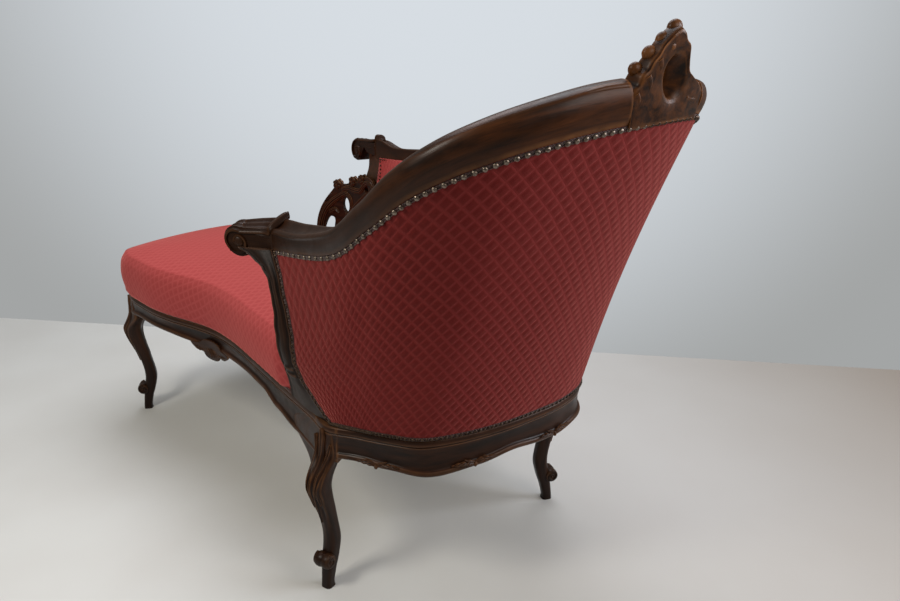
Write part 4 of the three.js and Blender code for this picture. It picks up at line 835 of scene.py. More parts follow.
@dataclass(frozen=True)
class WovenStrip:
    """Plain woven jute, linen or braid: visible over-and-under yarns, matt and uneven."""

    name: str
    light: str
    dark: str
    yarn: float  # mm from yarn to yarn, drawn as coarse as it still shows
    shine: float = 0.0

    def build(self) -> bpy.types.Material:
        """Builds the material."""
        material, tree = blank_material(self.name, self.light)
        spot = add_node(tree, "ShaderNodeTexCoord").outputs["UV"]
        parts = add_node(tree, "ShaderNodeSeparateXYZ", {0: spot})
        waves = [add_node(tree, "ShaderNodeMath", {
            0: add_node(tree, "ShaderNodeMath", {
                0: parts.outputs[k], 1: 1000 * math.pi / self.yarn},
                operation="MULTIPLY").outputs[0]}, operation="SINE").outputs[0] for k in (0, 1)]
        weave = add_node(tree, "ShaderNodeMath", {0: waves[0], 1: waves[1]}, operation="MULTIPLY")
        drift = add_node(tree, "ShaderNodeTexNoise", {"Vector": spot, "Scale": 60.0, "Detail": 3.0})
        mixed = add_node(tree, "ShaderNodeMapRange", {
            "Value": add_node(tree, "ShaderNodeMath", {
                0: weave.outputs[0], 1: 0.5, 2: drift.outputs["Fac"]},
                operation="MULTIPLY_ADD").outputs[0], "From Min": 0.0, "From Max": 1.0})
        colour = add_node(tree, "ShaderNodeMix", {
            0: mixed.outputs[0], 6: linear(self.dark), 7: linear(self.light)}, data_type="RGBA")
        relief = add_node(tree, "ShaderNodeBump", {
            "Height": weave.outputs[0], "Strength": 0.6, "Distance": self.yarn * 0.4 * MM})
        shader = add_node(tree, "ShaderNodeBsdfPrincipled", {
            "Base Color": colour.outputs[2], "Roughness": 0.85, "Normal": relief.outputs[0],
            "Sheen Weight": self.shine})
        add_node(tree, "ShaderNodeOutputMaterial", {"Surface": shader.outputs[0]})
        return material


@dataclass(frozen=True)
class Metal:
    """Domed steel or antiqued brass, with dark tarnish in patches."""

    name: str
    bright: str
    tarnish: str
    roughness: float
    speck: float = 3  # mm across a patch of tarnish

    def build(self) -> bpy.types.Material:
        """Builds the material."""
        material, tree = blank_material(self.name, self.bright)
        patch = add_node(tree, "ShaderNodeTexNoise", {
            "Vector": add_node(tree, "ShaderNodeTexCoord").outputs["Object"],
            "Scale": 1000 / self.speck, "Detail": 3.0})
        share = add_node(tree, "ShaderNodeMapRange", {
            "Value": patch.outputs["Fac"], "From Min": 0.42, "From Max": 0.66, "To Max": 0.8})
        colour = add_node(tree, "ShaderNodeMix", {
            0: share.outputs[0], 6: linear(self.bright), 7: linear(self.tarnish)}, data_type="RGBA")
        rough = add_node(tree, "ShaderNodeMapRange", {
            "Value": patch.outputs["Fac"], "From Min": 0.3, "From Max": 0.7,
            "To Min": self.roughness - 0.08, "To Max": self.roughness + 0.15})
        shader = add_node(tree, "ShaderNodeBsdfPrincipled", {
            "Base Color": colour.outputs[2], "Metallic": 1.0, "Roughness": rough.outputs[0]})
        add_node(tree, "ShaderNodeOutputMaterial", {"Surface": shader.outputs[0]})
        return material


@dataclass(frozen=True)
class Finishes:
    """Every material of the couch."""

    frame_wood: bpy.types.Material
    top_wood: bpy.types.Material
    post_wood: bpy.types.Material
    crest_wood: bpy.types.Material
    beech: bpy.types.Material
    back_cloth_shaded: bpy.types.Material
    seat_cloth: bpy.types.Material
    braid: bpy.types.Material
    hessian: bpy.types.Material
    linen: bpy.types.Material
    lit_nail: bpy.types.Material
    shaded_nail: bpy.types.Material
    spring: bpy.types.Material


def build_finishes() -> Finishes:
    """Builds every material once."""
    return Finishes(
        frame_wood=Walnut("walnut_rails", "#150b06", "#3c2213", "#6b482c").build(),
        # Copies of one walnut: the top rail's and the crest's are lighter, painted light from above; the posts' is
        # darker, painted shade.
        top_wood=Walnut("walnut_top_rail", "#1d0f07", "#522d14", "#80532e", shade_below=0.72).build(),
        post_wood=Walnut("walnut_posts", "#120b08", "#2c1c13", "#5a4030", gloss=0.4).build(),
        crest_wood=Walnut("walnut_crest", "#180c06", "#4b2a11", "#86562e",
                          laid_by=Coordinates.BODY).build(),
        beech=Walnut("beech_frame", "#8a6238", "#b58a58", "#c9a273", figure_width=9, gloss=0.55,
                     polish=0.0, laid_by=Coordinates.BODY).build(),
        # The back's cloth is a darker copy of the seat's: painted shade.
        back_cloth_shaded=RoseCloth("rose_cloth_back_shaded").build(),
        seat_cloth=RoseCloth("rose_cloth_seat", lattice="#a94948", pile="#a14040",
                             fleck="#943838", puff=0.5).build(),
        braid=WovenStrip("gimp_braid", "#4a2c26", "#1d100e", 2.6, 0.2).build(),
        hessian=WovenStrip("jute_hessian", "#a98a5c", "#6d5636", 3.0).build(),
        linen=WovenStrip("linen_webbing", "#b9a583", "#7d6a4c", 3.2).build(),
        # The bright and the dull nails are copies of one nail: the bright one painted highlight, the dull one
        # painted shade.
        lit_nail=Metal("nail_lit", "#857a6f", "#30261e", 0.38).build(),
        shaded_nail=Metal("nail_shaded", "#51443a", "#211812", 0.36).build(),
        spring=Metal("spring_steel", "#8a8f94", "#4f4a45", 0.42).build())


# Carving, drawn flat and laid on the couch by a place function


@dataclass
class Carver:
    """Carved ornament: x runs along the work, y up and d into it, all in millimetres."""

    draft: Draft
    place: Place
    face: float = 0.0
    outwards: float = -1.0

    def lay(self, x: np.ndarray, y: np.ndarray, proud: np.ndarray) -> np.ndarray:
        """Places points that stand proud of the face by some amount."""
        return self.place(x, y, self.face + self.outwards * proud)

    def knob(self, x: float, y: float, across: float, tall: float, proud: float,
             tilt: float = 0) -> None:
        """Adds an egg-shaped knob centred on the face.

        Args:
            x: place along the work.
            y: place up the work.
            across: half width.
            tall: half height.
            proud: half depth.
            tilt: turn in the face, in radians.
        """
        a = np.linspace(0, 2 * math.pi, 17)[:-1][None, :]
        b = np.linspace(0.02, math.pi - 0.02, 11)[:, None]
        px = across * np.sin(b) * np.cos(a)
        pd = proud * np.sin(b) * np.sin(a)
        py = tall * np.cos(b) * np.ones_like(a)
        c, s = math.cos(tilt), math.sin(tilt)
        self.draft.rings(self.lay(x + px * c - py * s, y + px * s + py * c, pd))

    def leaf(self, start: tuple[float, float], end: tuple[float, float], half: float, proud: float,
             lobes: int = 3, bend: float = 0.0) -> None:
        """Adds a veined leaf whose lobed sides taper to a tip.

        Args:
            start: x and y of its root.
            end: x and y of its tip.
            half: half of its greatest width.
            proud: how far it stands up.
            lobes: lobes on each side.
            bend: how far its middle bows sideways.
        """
        t = np.linspace(0, 1, 12 * lobes + 1)[:, None]
        w = np.linspace(-1, 1, 13)[None, :]
        run = np.array(end, float) - np.array(start, float)
        side = np.array([-run[1], run[0]]) / np.hypot(*run)
        wide = half * np.sin(math.pi * np.clip(t, 0.02, 0.98) ** 0.75) ** 0.7
        wide = wide * (1 - 0.28 * np.abs(np.sin(math.pi * lobes * t)) ** 3)
        x = start[0] + run[0] * t + side[0] * (wide * w + bend * np.sin(math.pi * t))
        y = start[1] + run[1] * t + side[1] * (wide * w + bend * np.sin(math.pi * t))
        ribs = 0.22 * np.cos(2 * math.pi * (lobes * t + np.abs(w) * 1.2))
        top = proud * (0.25 + np.sin(math.pi * np.clip(t, 0.03, 0.97)) ** 0.5) * (
            (1 - w ** 2) ** 0.5 + ribs * (1 - w ** 4) + 0.25 * np.exp(-(w / 0.12) ** 2))
        upper = self.lay(x, y, np.maximum(top, 0.2))
        lower = self.lay(x, y, np.full_like(top, -1.5))[:, ::-1]
        self.draft.rings(np.concatenate([upper, lower], axis=1))

    def roll(self, line: np.ndarray, half: Sequence[float], proud: Sequence[float],
             sink: float = 2.0, flutes: int = 0) -> None:
        """Adds a raised band along a line in the face.

        Args:
            line: points of its middle, x and y.
            half: half widths at equal steps along it.
            proud: heights at equal steps along it.
            sink: how far its foot goes into the face.
            flutes: grooves across its width.
        """
        run = np.gradient(line, axis=0)
        side = unit(np.stack([-run[:, 1], run[:, 0]], axis=-1))
        t = np.linspace(0, 1, len(line))
        wide = np.interp(t, np.linspace(0, 1, len(half)), half)[:, None]
        high = np.interp(t, np.linspace(0, 1, len(proud)), proud)[:, None]
        a = np.linspace(0, math.pi, 11)[None, :]
        w, h = np.cos(a), np.sin(a) ** 0.8
        if flutes:
            h = h * (1 - 0.3 * np.cos(math.pi * flutes * w) ** 2)
        w = np.concatenate([w, [[-1.0, 1.0]]], axis=1)
        rise = np.concatenate([high * h, np.full((len(line), 2), -sink)], axis=1)
        x = line[:, :1] + side[:, :1] * wide * w
        y = line[:, 1:] + side[:, 1:] * wide * w
        self.draft.rings(self.lay(x, y, rise))

    def spiral(self, x: float, y: float, radius: float, start: float, turns: float, half: float,
               proud: float, inner: float = 0.22) -> None:
        """Adds a spiral band that winds in to a button.

        Args:
            x: centre along the work.
            y: centre up the work.
            radius: outer radius of the band's middle.
            start: angle at which it starts, in radians.
            turns: turns, negative for clockwise.
            half: half width at the outside.
            proud: height of the band.
            inner: share of the radius at its inner end.
        """
        t = np.linspace(0, 1, int(48 * abs(turns)) + 2)
        reach = radius * (1 - (1 - inner) * t ** 0.85)
        angle = start + 2 * math.pi * turns * t
        line = np.stack([x + reach * np.cos(angle), y + reach * np.sin(angle)], axis=-1)
        self.roll(line, (half, half * 0.85, half * 0.6), (proud, proud, proud * 0.9))
        self.knob(x, y, radius * inner * 1.1, radius * inner * 1.1, proud * 1.25)

    def rosette(self, x: float, y: float, radius: float, proud: float, petals: int = 6) -> None:
        """Adds a flower of cupped petals round a button."""
        t = np.linspace(0.06, 1, 12)[:, None]
        a = np.linspace(0, 2 * math.pi, 12 * petals + 1)[:-1][None, :]
        scallop = 0.8 + 0.2 * np.abs(np.sin(petals * a / 2)) ** 0.7
        reach = radius * t * scallop
        cup = np.sin(math.pi * np.clip(t, 0, 0.96)) ** 0.6 * (
            0.55 + 0.45 * np.abs(np.sin(petals * a / 2)) ** 0.6)
        upper = self.lay(x + reach * np.cos(a), y + reach * np.sin(a), proud * (0.35 + 0.65 * cup))
        back = self.lay(x + 0.9 * reach * np.cos(a), y + 0.9 * reach * np.sin(a),
                        np.full(reach.shape, -proud * 0.4))[::-1]
        self.draft.rings(np.concatenate([upper, back]))
        self.knob(x, y, radius * 0.28, radius * 0.28, proud * 1.15)


def plate(outline: np.ndarray, low: float, high: float, place: Place, round_over: float,
          step: float, draft: Draft, holes: Sequence[np.ndarray] = ()) -> None:
    """Adds a flat plate with rounded edges, cut fine enough to bend.

    Args:
        outline: closed line of x and y.
        low: depth of its outer face.
        high: depth of its inner face.
        place: lays flat points on the couch.
        round_over: radius of its edges.
        step: spacing of the cuts along x.
        draft: the piece it belongs to.
        holes: closed lines of openings.
    """
    curve = bpy.data.curves.new("plate", "CURVE")
    curve.dimensions, curve.fill_mode = "2D", "BOTH"
    curve.extrude = (high - low) / 2 - round_over
    curve.bevel_depth, curve.bevel_resolution = round_over, 3
    curve.offset = -round_over
    for line in (outline, *holes):
        spline = curve.splines.new("POLY")
        spline.points.add(len(line) - 1)
        spline.points.foreach_set("co", np.concatenate(
            [line, np.zeros((len(line), 1)), np.ones((len(line), 1))], axis=1).ravel())
        spline.use_cyclic_u = True
    holder = bpy.data.objects.new("plate", curve)
    bpy.context.scene.collection.objects.link(holder)
    bpy.context.view_layer.update()
    mesh = bpy.data.meshes.new_from_object(holder)
    work = bmesh.new()
    work.from_mesh(mesh)
    bmesh.ops.remove_doubles(work, verts=work.verts, dist=0.01)
    for x in np.arange(outline[:, 0].min() + step, outline[:, 0].max(), step):
        bmesh.ops.bisect_plane(work, geom=work.verts[:] + work.edges[:] + work.faces[:],
                               plane_co=(x, 0, 0), plane_no=(1, 0, 0), dist=0.001)
    work.verts.index_update()
    flat = np.array([v.co[:] for v in work.verts])
    faces = [[v.index for v in f.verts] for f in work.faces]
    work.free()
    bpy.data.objects.remove(holder)
    bpy.data.curves.remove(curve)
    bpy.data.meshes.remove(mesh)
    points = place(flat[:, 0], flat[:, 1], (low + high) / 2 + flat[:, 2])
    start = draft.count
    draft.points.append(points)
    draft.count += len(points)
    for face in faces:
        draft.faces.append([start + i for i in face])
        draft.corners.append(flat[face][:, :2] * MM)


# Sub-assemblies


@dataclass
class SeatRails:
    """The four moulded rails between the legs."""

    plan: SeatPlan
    finishes: Finishes
    thickness: float = 26
    inner_height: float = 38
    head_height: float = 56
    side_height: float = 43
    scallop_drop: float = 18
    block_half: float = 31
    gap: float = 0.3
    # Face moulding: distance in from the face, then distance down from the top or up from the foot.
    upper_face: tuple = ((26, 0), (4, 0), (2, 0.3), (0.6, 1.3), (0, 3), (-0.6, 5.5), (-1.2, 8),
                         (-0.9, 10.2), (0.6, 11.6), (0.9, 12.6), (-0.2, 13.6), (0.4, 15.6), (1.6, 18))
    lower_face: tuple = ((1.7, 14), (0.9, 12), (-0.6, 10.8), (-2.4, 9.8), (-3.8, 7.6), (-4.2, 5.2),
                         (-3.6, 2.8), (-2.2, 1.1), (0.4, 0.1), (4, 0), (8.6, 0.2))

    def rail(self, name: str, start: str, end: str, height: float,
             edge: Sequence[Sequence[float]]) -> bpy.types.Object:
        """Builds one rail.

        Args:
            name: the CAD node that it stands for.
            start: leg that it starts from.
            end: leg that it runs to, anticlockwise.
            height: height of its face.
            edge: shares of its lower edge.

        Returns:
            The rail.
        """
        plan = self.plan
        inset = self.block_half + self.gap
        first = plan.leg(start) + inset
        length = np.mod(plan.leg(end) - plan.leg(start), plan.length) - 2 * inset
        t = np.linspace(0, 1, int(length / 4) + 2)
        frames = plan.frames(first + length * t, plan.rail_top)
        low = -height - self.scallop_drop * steps_between(edge, t)
        ones = np.ones(len(t))
        across = [a * ones for a, b in self.upper_face + self.lower_face]
        up = [-b * ones for a, b in self.upper_face] + [low + b for a, b in self.lower_face]
        foot = np.minimum(low + 0.4, -self.inner_height)
        across += [self.thickness / 2 * ones, self.thickness * ones]
        up += [foot, -self.inner_height * ones]
        draft = Draft()
        draft.rings(frames.point(np.stack(across, 1), np.stack(up, 1)))
        rail = draft.make(name + "_moulded", self.finishes.frame_wood, sharp=50)
        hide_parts(name)
        return rail

    def build(self) -> list[bpy.types.Object]:
        """Builds all four rails."""
        return [
            self.rail("head_rail", "front_head", "back_head", self.head_height, HEAD_EDGE_SHARES),
            self.rail("back_rail", "back_head", "back_foot", self.side_height, SIDE_EDGE_SHARES),
            self.rail("foot_rail", "back_foot", "front_foot", self.side_height, SIDE_EDGE_SHARES),
            self.rail("front_rail", "front_foot", "front_head", self.side_height, FRONT_EDGE_SHARES)]


@dataclass
class Legs:
    """Four cabriole legs with carved knees and scrolled feet."""

    plan: SeatPlan
    finishes: Finishes
    height: float = 279
    knee_width: float = 48
    sway: float = 11
    block_half: float = 31
    block_depth: float = 34
    block_drop: float = 12
    roll_radius: float = 16
    roll_width: float = 34
    roll_height: float = 60
    roll_reach: float = 6
    shoulder_drop: float = 15

    def leg(self, end: str, inset: float, turn: float,
            wings: tuple[float, float]) -> bpy.types.Object:
        """Builds one leg.

        Args:
            end: which corner it stands at.
            inset: how far its foot stands in from the outline.
            turn: turn of its face in degrees.
            wings: extra width of its shoulder before and after it along the outline.

        Returns:
            The leg.
        """
        plan = self.plan
        s = plan.leg(end)
        face = plan.outward(np.array([s]))[0]
        angle = math.radians(turn)
        out = np.array([face[0] * math.cos(angle) - face[1] * math.sin(angle),
                        face[0] * math.sin(angle) + face[1] * math.cos(angle), 0])
        side = np.cross(UP, out)
        foot = plan.point(np.array([s]))[0] - face * inset
        t = np.linspace(0, 1, 86)
        rows = curve_through(LEG_SHARES, t)[::-1]
        top = (plan.rail_top - self.shoulder_drop) / self.height
        above = np.linspace(rows[-1, 0], top, 12)[1:, None]
        rows = np.concatenate([rows, np.concatenate([above, rows[-1:, 1:] + 0 * above], axis=1)])
        high, sway, wide = rows[:, :1], rows[:, 1:2], rows[:, 2:]
        sway = sway - 0.4 * np.exp(-((high - 0.34) / 0.13) ** 2)
        a = np.linspace(0, 2 * math.pi, 49)[:-1][None, :]
        c, q = np.cos(a), np.sin(a)
        reach = wide * self.knee_width / 2 / (np.abs(c) ** 3.4 + np.abs(q) ** 3.4) ** (1 / 3.4)
        turned = np.minimum(np.abs(a), np.abs(2 * math.pi - a))
        knee = smoothstep(high, 0.42, 0.74) * (1 - smoothstep(high, 0.93, 1.02))
        ridge = 3.2 * np.exp(-(turned / 0.2) ** 2) - 2.4 * np.exp(-((turned - 0.42) / 0.13) ** 2)
        ridge = ridge + 1.8 * np.exp(-((turned - 0.72) / 0.14) ** 2)
        veins = 0.8 * np.cos(2 * math.pi * (high * 7 + turned * 1.1)) * (turned < 1.1)
        spine = 1.2 * np.exp(-(turned / 0.5) ** 2) * (1 - knee) * smoothstep(high, 0.1, 0.3)
        reach = reach + (ridge + veins * np.exp(-((turned - 0.5) / 0.4) ** 2)) * knee + spine
        spots = (foot + out * (sway * self.sway)[..., None] + out * (reach * c)[..., None]
                 + side * (reach * q)[..., None] + UP * (high * self.height + 0 * a)[..., None])
        square = (np.abs(c) ** 7 + np.abs(q) ** 7) ** (-1 / 7)
        wing = smoothstep(high, 0.66, 1.0) ** 1.3 * (1 - 0.35 * smoothstep(high, 1.05, 1.16))
        half = self.shoulder_half(high) + wing * np.where(q < 0, *wings)
        along = plan.frames((s + half * square * q).ravel())
        depth = 12 - (14.5 - 2.5 * smoothstep(high, 1.05, top)) * square * c
        shoulder = (along.origin + along.across * depth.reshape(-1, 1)).reshape(spots.shape)
        shoulder[..., 2] = (high * self.height + 0 * a)
        ear = np.maximum(-q, 0) * min(wings[0] / 90, 1)
        joined = smoothstep((high - 0.76 + 0.14 * ear) / (0.26 - 0.04 * ear), 0, 1)
        spots = spots + (shoulder - spots) * joined[..., None]
        draft = Draft()
        draft.rings(spots)
        block = plan.frames(np.linspace(s - self.block_half, s + self.block_half, 15), plan.rail_top)
        face_line = np.array(SeatRails.upper_face[2:] + ((1.7, 24), (0.6, 34)))
        low = -(plan.rail_top - self.height + self.block_drop)
        across = np.concatenate([[self.block_depth], face_line[:, 0], [-1.2, -2.0, -1.2, 0.6,
                                                                       self.block_depth]])
        up = np.concatenate([[0], -face_line[:, 1], [low + 10, low + 5, low + 1.5, low, low]])
        ones = np.ones((15, 1))
        draft.rings(block.point(ones * across, ones * up))
        centre = foot + out * self.roll_reach + UP * self.roll_height

        def flat(x: np.ndarray, y: np.ndarray, d: np.ndarray) -> np.ndarray:
            """Lays a scroll's flat face square to the leg's own side."""
            return (centre + out * np.asarray(x)[..., None] + UP * np.asarray(y)[..., None]
                    + side * np.asarray(d)[..., None])

        w = np.linspace(-1, 1, 13)[:, None]
        ring = np.linspace(0, 2 * math.pi, 33)[:-1][None, :]
        drum = (self.roll_radius - 1.2) * (1 - 0.16 * np.abs(w) ** 5) * np.ones_like(ring)
        drum = drum * (1 - 0.07 * np.exp(-(w / 0.2) ** 2))
        draft.rings(flat(drum * np.cos(ring), drum * np.sin(ring),
                         w * (self.roll_width / 2 - 1.5) * np.ones_like(ring)))
        for sign in (-1, 1):
            carver = Carver(draft, flat, sign * (self.roll_width / 2 - 2.5), sign)
            carver.spiral(0, 0, self.roll_radius - 3.4, math.pi / 2, -1.35, 3.2, 3.2)
        knee = Carver(draft, self.knee_place(s, foot, out, side), 0, 1)
        for x, tip, wide, root, low in ((0, -2, 11, 1.17, 0.5), (-24, -10, 8, 1.1, 0.62),
                                        (19, 9, 7, 1.08, 0.66)):
            knee.leaf((x, self.height * root), (tip, self.height * low), wide, 5.5, lobes=2,
                      bend=-x / 5)
        leg = draft.make(f"leg_{end}_carved", self.finishes.frame_wood, sharp=50)
        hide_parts(f"leg_{end}")
        return leg

    def shoulder_half(self, high: np.ndarray) -> np.ndarray:
        """Half width of the shoulder at a share of the leg's height."""
        return 24 + 15 * smoothstep(high, 0.8, 1.0) - 7 * smoothstep(high, 1.02, 1.14)

    def knee_place(self, s: float, foot: np.ndarray, out: np.ndarray, side: np.ndarray) -> Place:
        """Lays carving on the front of a knee: x sideways, y up, d outwards.

        Args:
            s: running length at which the leg stands.
            foot: middle of its foot.
            out: direction that it faces.
            side: direction across it.

        Returns:
            The place function.
        """
        def place(x: np.ndarray, y: np.ndarray, d: np.ndarray) -> np.ndarray:
            """Places points on the leg's swayed front and on the shoulder above it."""
            x, y, d = np.broadcast_arrays(x, y, d)
            rows = np.array(LEG_SHARES)[::-1]
            share = y / self.height
            sway = np.interp(share, rows[:, 0], rows[:, 1]) * self.sway
            wide = np.interp(share, rows[:, 0], rows[:, 2]) * self.knee_width / 2
            lift = sway + (np.maximum(wide ** 3.4 - np.abs(x) ** 3.4, 1)) ** (1 / 3.4) + d
            knee = foot + out * lift[..., None] + side * x[..., None]
            f = self.plan.frames((s + x).ravel())
            face = (f.origin - f.across * (2.5 + d.reshape(-1, 1))).reshape(x.shape + (3,))
            spot = knee + (face - knee) * smoothstep(share, 0.76, 1.02)[..., None]
            spot[..., 2] = y
            return spot
        return place

    def build(self) -> list[bpy.types.Object]:
        """Builds all four legs."""
        return [self.leg("front_head", -8, 18, (98, -12)), self.leg("back_head", 0, -18, (8, 30)),
                self.leg("back_foot", 8, 0, (16, 16)), self.leg("front_foot", 8, 0, (16, 16))]


@dataclass
class TopRail:
    """Show-wood rail round the top of the back, with its crest, arm scrolls and lugs."""

    back: TubBack
    finishes: Finishes
    thickness: float = 30
    crest_height: float = 118
    crest_hole_width: float = 38
    crest_hole_height: float = 56
    crest_hole_centre: float = 55
    crest_hole_shift: float = 1
    crest_hole_slant: float = 17  # how far the hole runs to the left on its way through
    crest_lean: float = 9
    # Rolls across the crest's top edge: place along it, height, radius.
    rolls: tuple = ((-74, 46, 8), (-57, 67, 10.5), (-40, 87, 10.5), (-21, 103, 10.5),
                    (-3, 117, 11), (52, 50, 5.5))
    scroll_radius: float = 30
    front_reach: float = 76
    back_reach: float = 92
    scroll_lift: float = 5
    scroll_width: float = 40
    lug_width: float = 36
    arm_sweep: float = 6
    tongue: float = 8
    # Rail section by the arms: distance across, then a fixed height and a share of the height.
    hollow_section: tuple = (
        (-3, 0.3, 0), (-3.3, 0, 0.2), (-3.1, 0, 0.42), (-2.2, 0, 0.6), (-1.5, 0, 0.72),
        (-1.5, 0, 0.79), (-2.3, 0, 0.85), (-2.9, 0, 0.915), (-2.2, 0, 0.975), (-0.6, 0.8, 1),
        (1.4, 1.8, 1), (3.4, 1.5, 1), (5.4, 0, 1), (8, -1.6, 1), (11, -2.5, 1), (14, -2.8, 1),
        (17, -2.5, 1), (20, -1.6, 1), (22.6, 0, 1), (24.6, 1.5, 1), (26.6, 1.8, 1), (28.6, 0.8, 1),
        (29.8, 0, 0.95), (30, 0, 0.86), (30, 0, 0.78), (30, -8, 0), (6.5, -8, 0), (6.5, 2.5, 0))
    # The same points round the head, where the rail is plain and full.
    full_section: tuple = (
        (-1.4, 0.3, 0), (-3.6, 0, 0.2), (-5, 0, 0.4), (-5.2, 0, 0.52), (-4.6, 0, 0.64),
        (-3.6, 0, 0.73), (-2.2, 0, 0.81), (-0.4, 0, 0.89), (2, 0, 0.96), (4.4, 0.4, 1),
        (6.2, 1.3, 1), (8, 1.9, 1), (9.6, 2.4, 1), (11.4, 2.7, 1), (13, 2.9, 1), (15.4, 3, 1),
        (17.8, 2.9, 1), (20.2, 2.6, 1), (22.4, 2.2, 1), (24.4, 1.6, 1), (26.4, 0.8, 1),
        (28.4, -0.4, 1), (29.6, 0, 0.94), (30, 0, 0.86), (30, 0, 0.78), (30, -8, 0), (6.5, -8, 0),
        (6.5, 2.5, 0))

    def rail(self, name: str, start: float, end: float) -> bpy.types.Object:
        """Builds one length of the rail, standing for the CAD node of that name."""
        lengths = np.linspace(start, end, int((end - start) / 4) + 2)
        frames = self.back.top_frames(lengths)
        height = self.back.rail_height_at(lengths)[:, None]
        from_arm = np.minimum(lengths, self.back.length - lengths)
        full = smoothstep(from_arm, 150, 420)[:, None, None]
        rows = np.array(self.hollow_section) * (1 - full) + np.array(self.full_section) * full
        across, up = rows[..., 0], rows[..., 1] + rows[..., 2] * height
        up = up + self.arm_lift(lengths[:, None], across) * rows[..., 2] ** 2
        draft = Draft()
        draft.rings(frames.point(across, up))
        if name == "front_top_rail":
            carver = Carver(draft, self.back.on_rail, 8, -1)
            h = float(height[-1, 0])
            carver.roll(smooth_line([(end - 3, h - 3), (end - 45, h - 1), (end - 95, h - 4)], 30),
                        (5, 4, 1.5), (7, 6, 1))
        rail = draft.make(name + "_moulded", self.finishes.top_wood, sharp=50)
        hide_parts(name)
        return rail

    def thin(self, y: np.ndarray) -> np.ndarray:
        """Share of the crest's thickness that is left at each height."""
        return 1 - 0.5 * smoothstep(y, 25, self.crest_height * 0.85)

    def arm_lift(self, lengths: np.ndarray, across: np.ndarray) -> np.ndarray:
        """Rise of the rail's top by an arm, where it tilts outwards and sweeps up to the scroll."""
        front, back = lengths, self.back.length - lengths
        tilt = 1 - smoothstep(front, 70, 330) + 0.3 * (1 - smoothstep(back, 40, 200))
        sweep = 1 - smoothstep(np.minimum(front, back), 0, 110)
        fall = 14 * smoothstep(back, 10, 90) * (1 - smoothstep(back, 260, 480))
        return tilt * ((across - 5) / 25 * 14 - 4) + sweep * self.arm_sweep - fall

    def crest(self) -> bpy.types.Object:
        """Builds the pierced crest: rolls step up its left side, its right side is plain."""
        middle, half, tall = self.back.crest_middle, self.back.crest_half, self.crest_height
        right = np.array(CREST_RIGHT_SHARES) * (half, tall)
        left = (np.array(CREST_LEFT_SHARES) * (-half, tall))[::-1]
        base = np.stack([np.linspace(-half, half, 25), np.full(25, -self.tongue)], axis=-1)
        upper = smooth_line(np.concatenate([[(half, 0)], right, [(-0.06 * half, 1.02 * tall)], left, [(-half, 0)]]), 150)
        outline = np.concatenate([base, upper])
        hole = np.array([-self.crest_hole_shift, self.crest_hole_centre])
        angles = np.linspace(0, 2 * math.pi, 241)[:-1]
        around = outline - hole
        bearing = np.mod(np.arctan2(around[:, 1], around[:, 0]), 2 * math.pi)
        order = np.argsort(bearing)
        rim = np.interp(angles, bearing[order], np.hypot(*around[order].T), period=2 * math.pi)
        oval = 1 / np.hypot(np.cos(angles) / (self.crest_hole_width / 2),
                            np.sin(angles) / (self.crest_hole_height / 2))
        # Ring section: share of the way from the hole to the rim, millimetres beyond it, depth.
        section = ((0, 0, 6), (0, 0.6, 2.6), (0, 2.4, 0), (0, 5.4, -1.8), (0, 9, -2.7), (0.4, 5, -3.4),
                   (0.75, 2, -4), (0.93, 0, -3.8), (1, -1.6, -2.6), (1, -0.4, -0.6), (1, 0, 2.5),
                   (1, 0, 14), (1, 0, 25), (1, -0.6, 28), (1, -2.2, 29.6), (0.93, 0, 30.4),
                   (0.75, 2, 30.6), (0.4, 5, 30.2), (0, 9, 29.7), (0, 5.4, 28.8), (0, 2.4, 27),
                   (0, 0.6, 24.4), (0, 0, 21))

        def place(x: np.ndarray, y: np.ndarray, d: np.ndarray) -> np.ndarray:
            """Lays the crest on the rail, x from its middle, with its lean to the left."""
            lean = self.crest_lean * smoothstep(np.asarray(y, float), 5, 95)
            return self.back.on_rail(middle + np.asarray(x) - lean, y, d)

        rings = []
        for share, plus, depth in section:
            r = oval + np.maximum(rim - oval, 4) * share + plus * np.minimum(1, (rim - oval) / 16)
            x, y = hole[0] + r * np.cos(angles), hole[1] + r * np.sin(angles)
            slant = self.crest_hole_slant * (1 - share) * np.clip(depth / 28, 0, 1)
            joint = (np.abs(x) > half - 3) & (y < 0.3 * tall)
            d = np.where(joint & (share == 1) & (depth < 2.5), -3.8, depth)
            d = 2 + (d - 2) * np.where(d > 2, self.thin(y), 1)
            rings.append(place(x - slant, y, d))
        draft = Draft()
        draft.rings(np.stack(rings + rings[:1]), caps=False)

        for x, y, size in self.rolls:
            inner = Carver(draft, place, 2 + 20 * float(self.thin(np.array(y))), 1)
            inner.knob(x, y, size, size * 0.95, size * 0.78, 0.5)
            if y < 0.95 * tall:
                Carver(draft, place, 1, 1).knob(x + 6, y - 6, size * 0.66, size * 0.66, 5.5, 0.6)

        def place_thin(x: np.ndarray, y: np.ndarray, d: np.ndarray) -> np.ndarray:
            """Lays carving on the crest's inner face, which falls away towards the top."""
            return place(x, y, 2 + (np.asarray(d) - 2) * self.thin(np.asarray(y)))

        for laid, face, outwards in ((place, -2.5, -1), (place_thin, 29.5, 1)):
            carver = Carver(draft, laid, face, outwards)
            for (x, y, size), run in zip(self.rolls[:3], (22, 24, 20)):
                carver.roll(smooth_line([(x + 4, y - 4), (x + 8, y - 12), (x + 8, y - run)], 20),
                            (size * 0.5, size * 0.42, 1.4), (2.6, 2.2, 0.8))
            carver.roll(smooth_line([(34, 26), (50, 22), (70, 24)], 30), (2, 3, 2), (1, 1.8, 1))
        crest = draft.make("crest_carved", self.finishes.crest_wood, sharp=55, weld=0.01)
        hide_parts("crest_carving")
        return crest

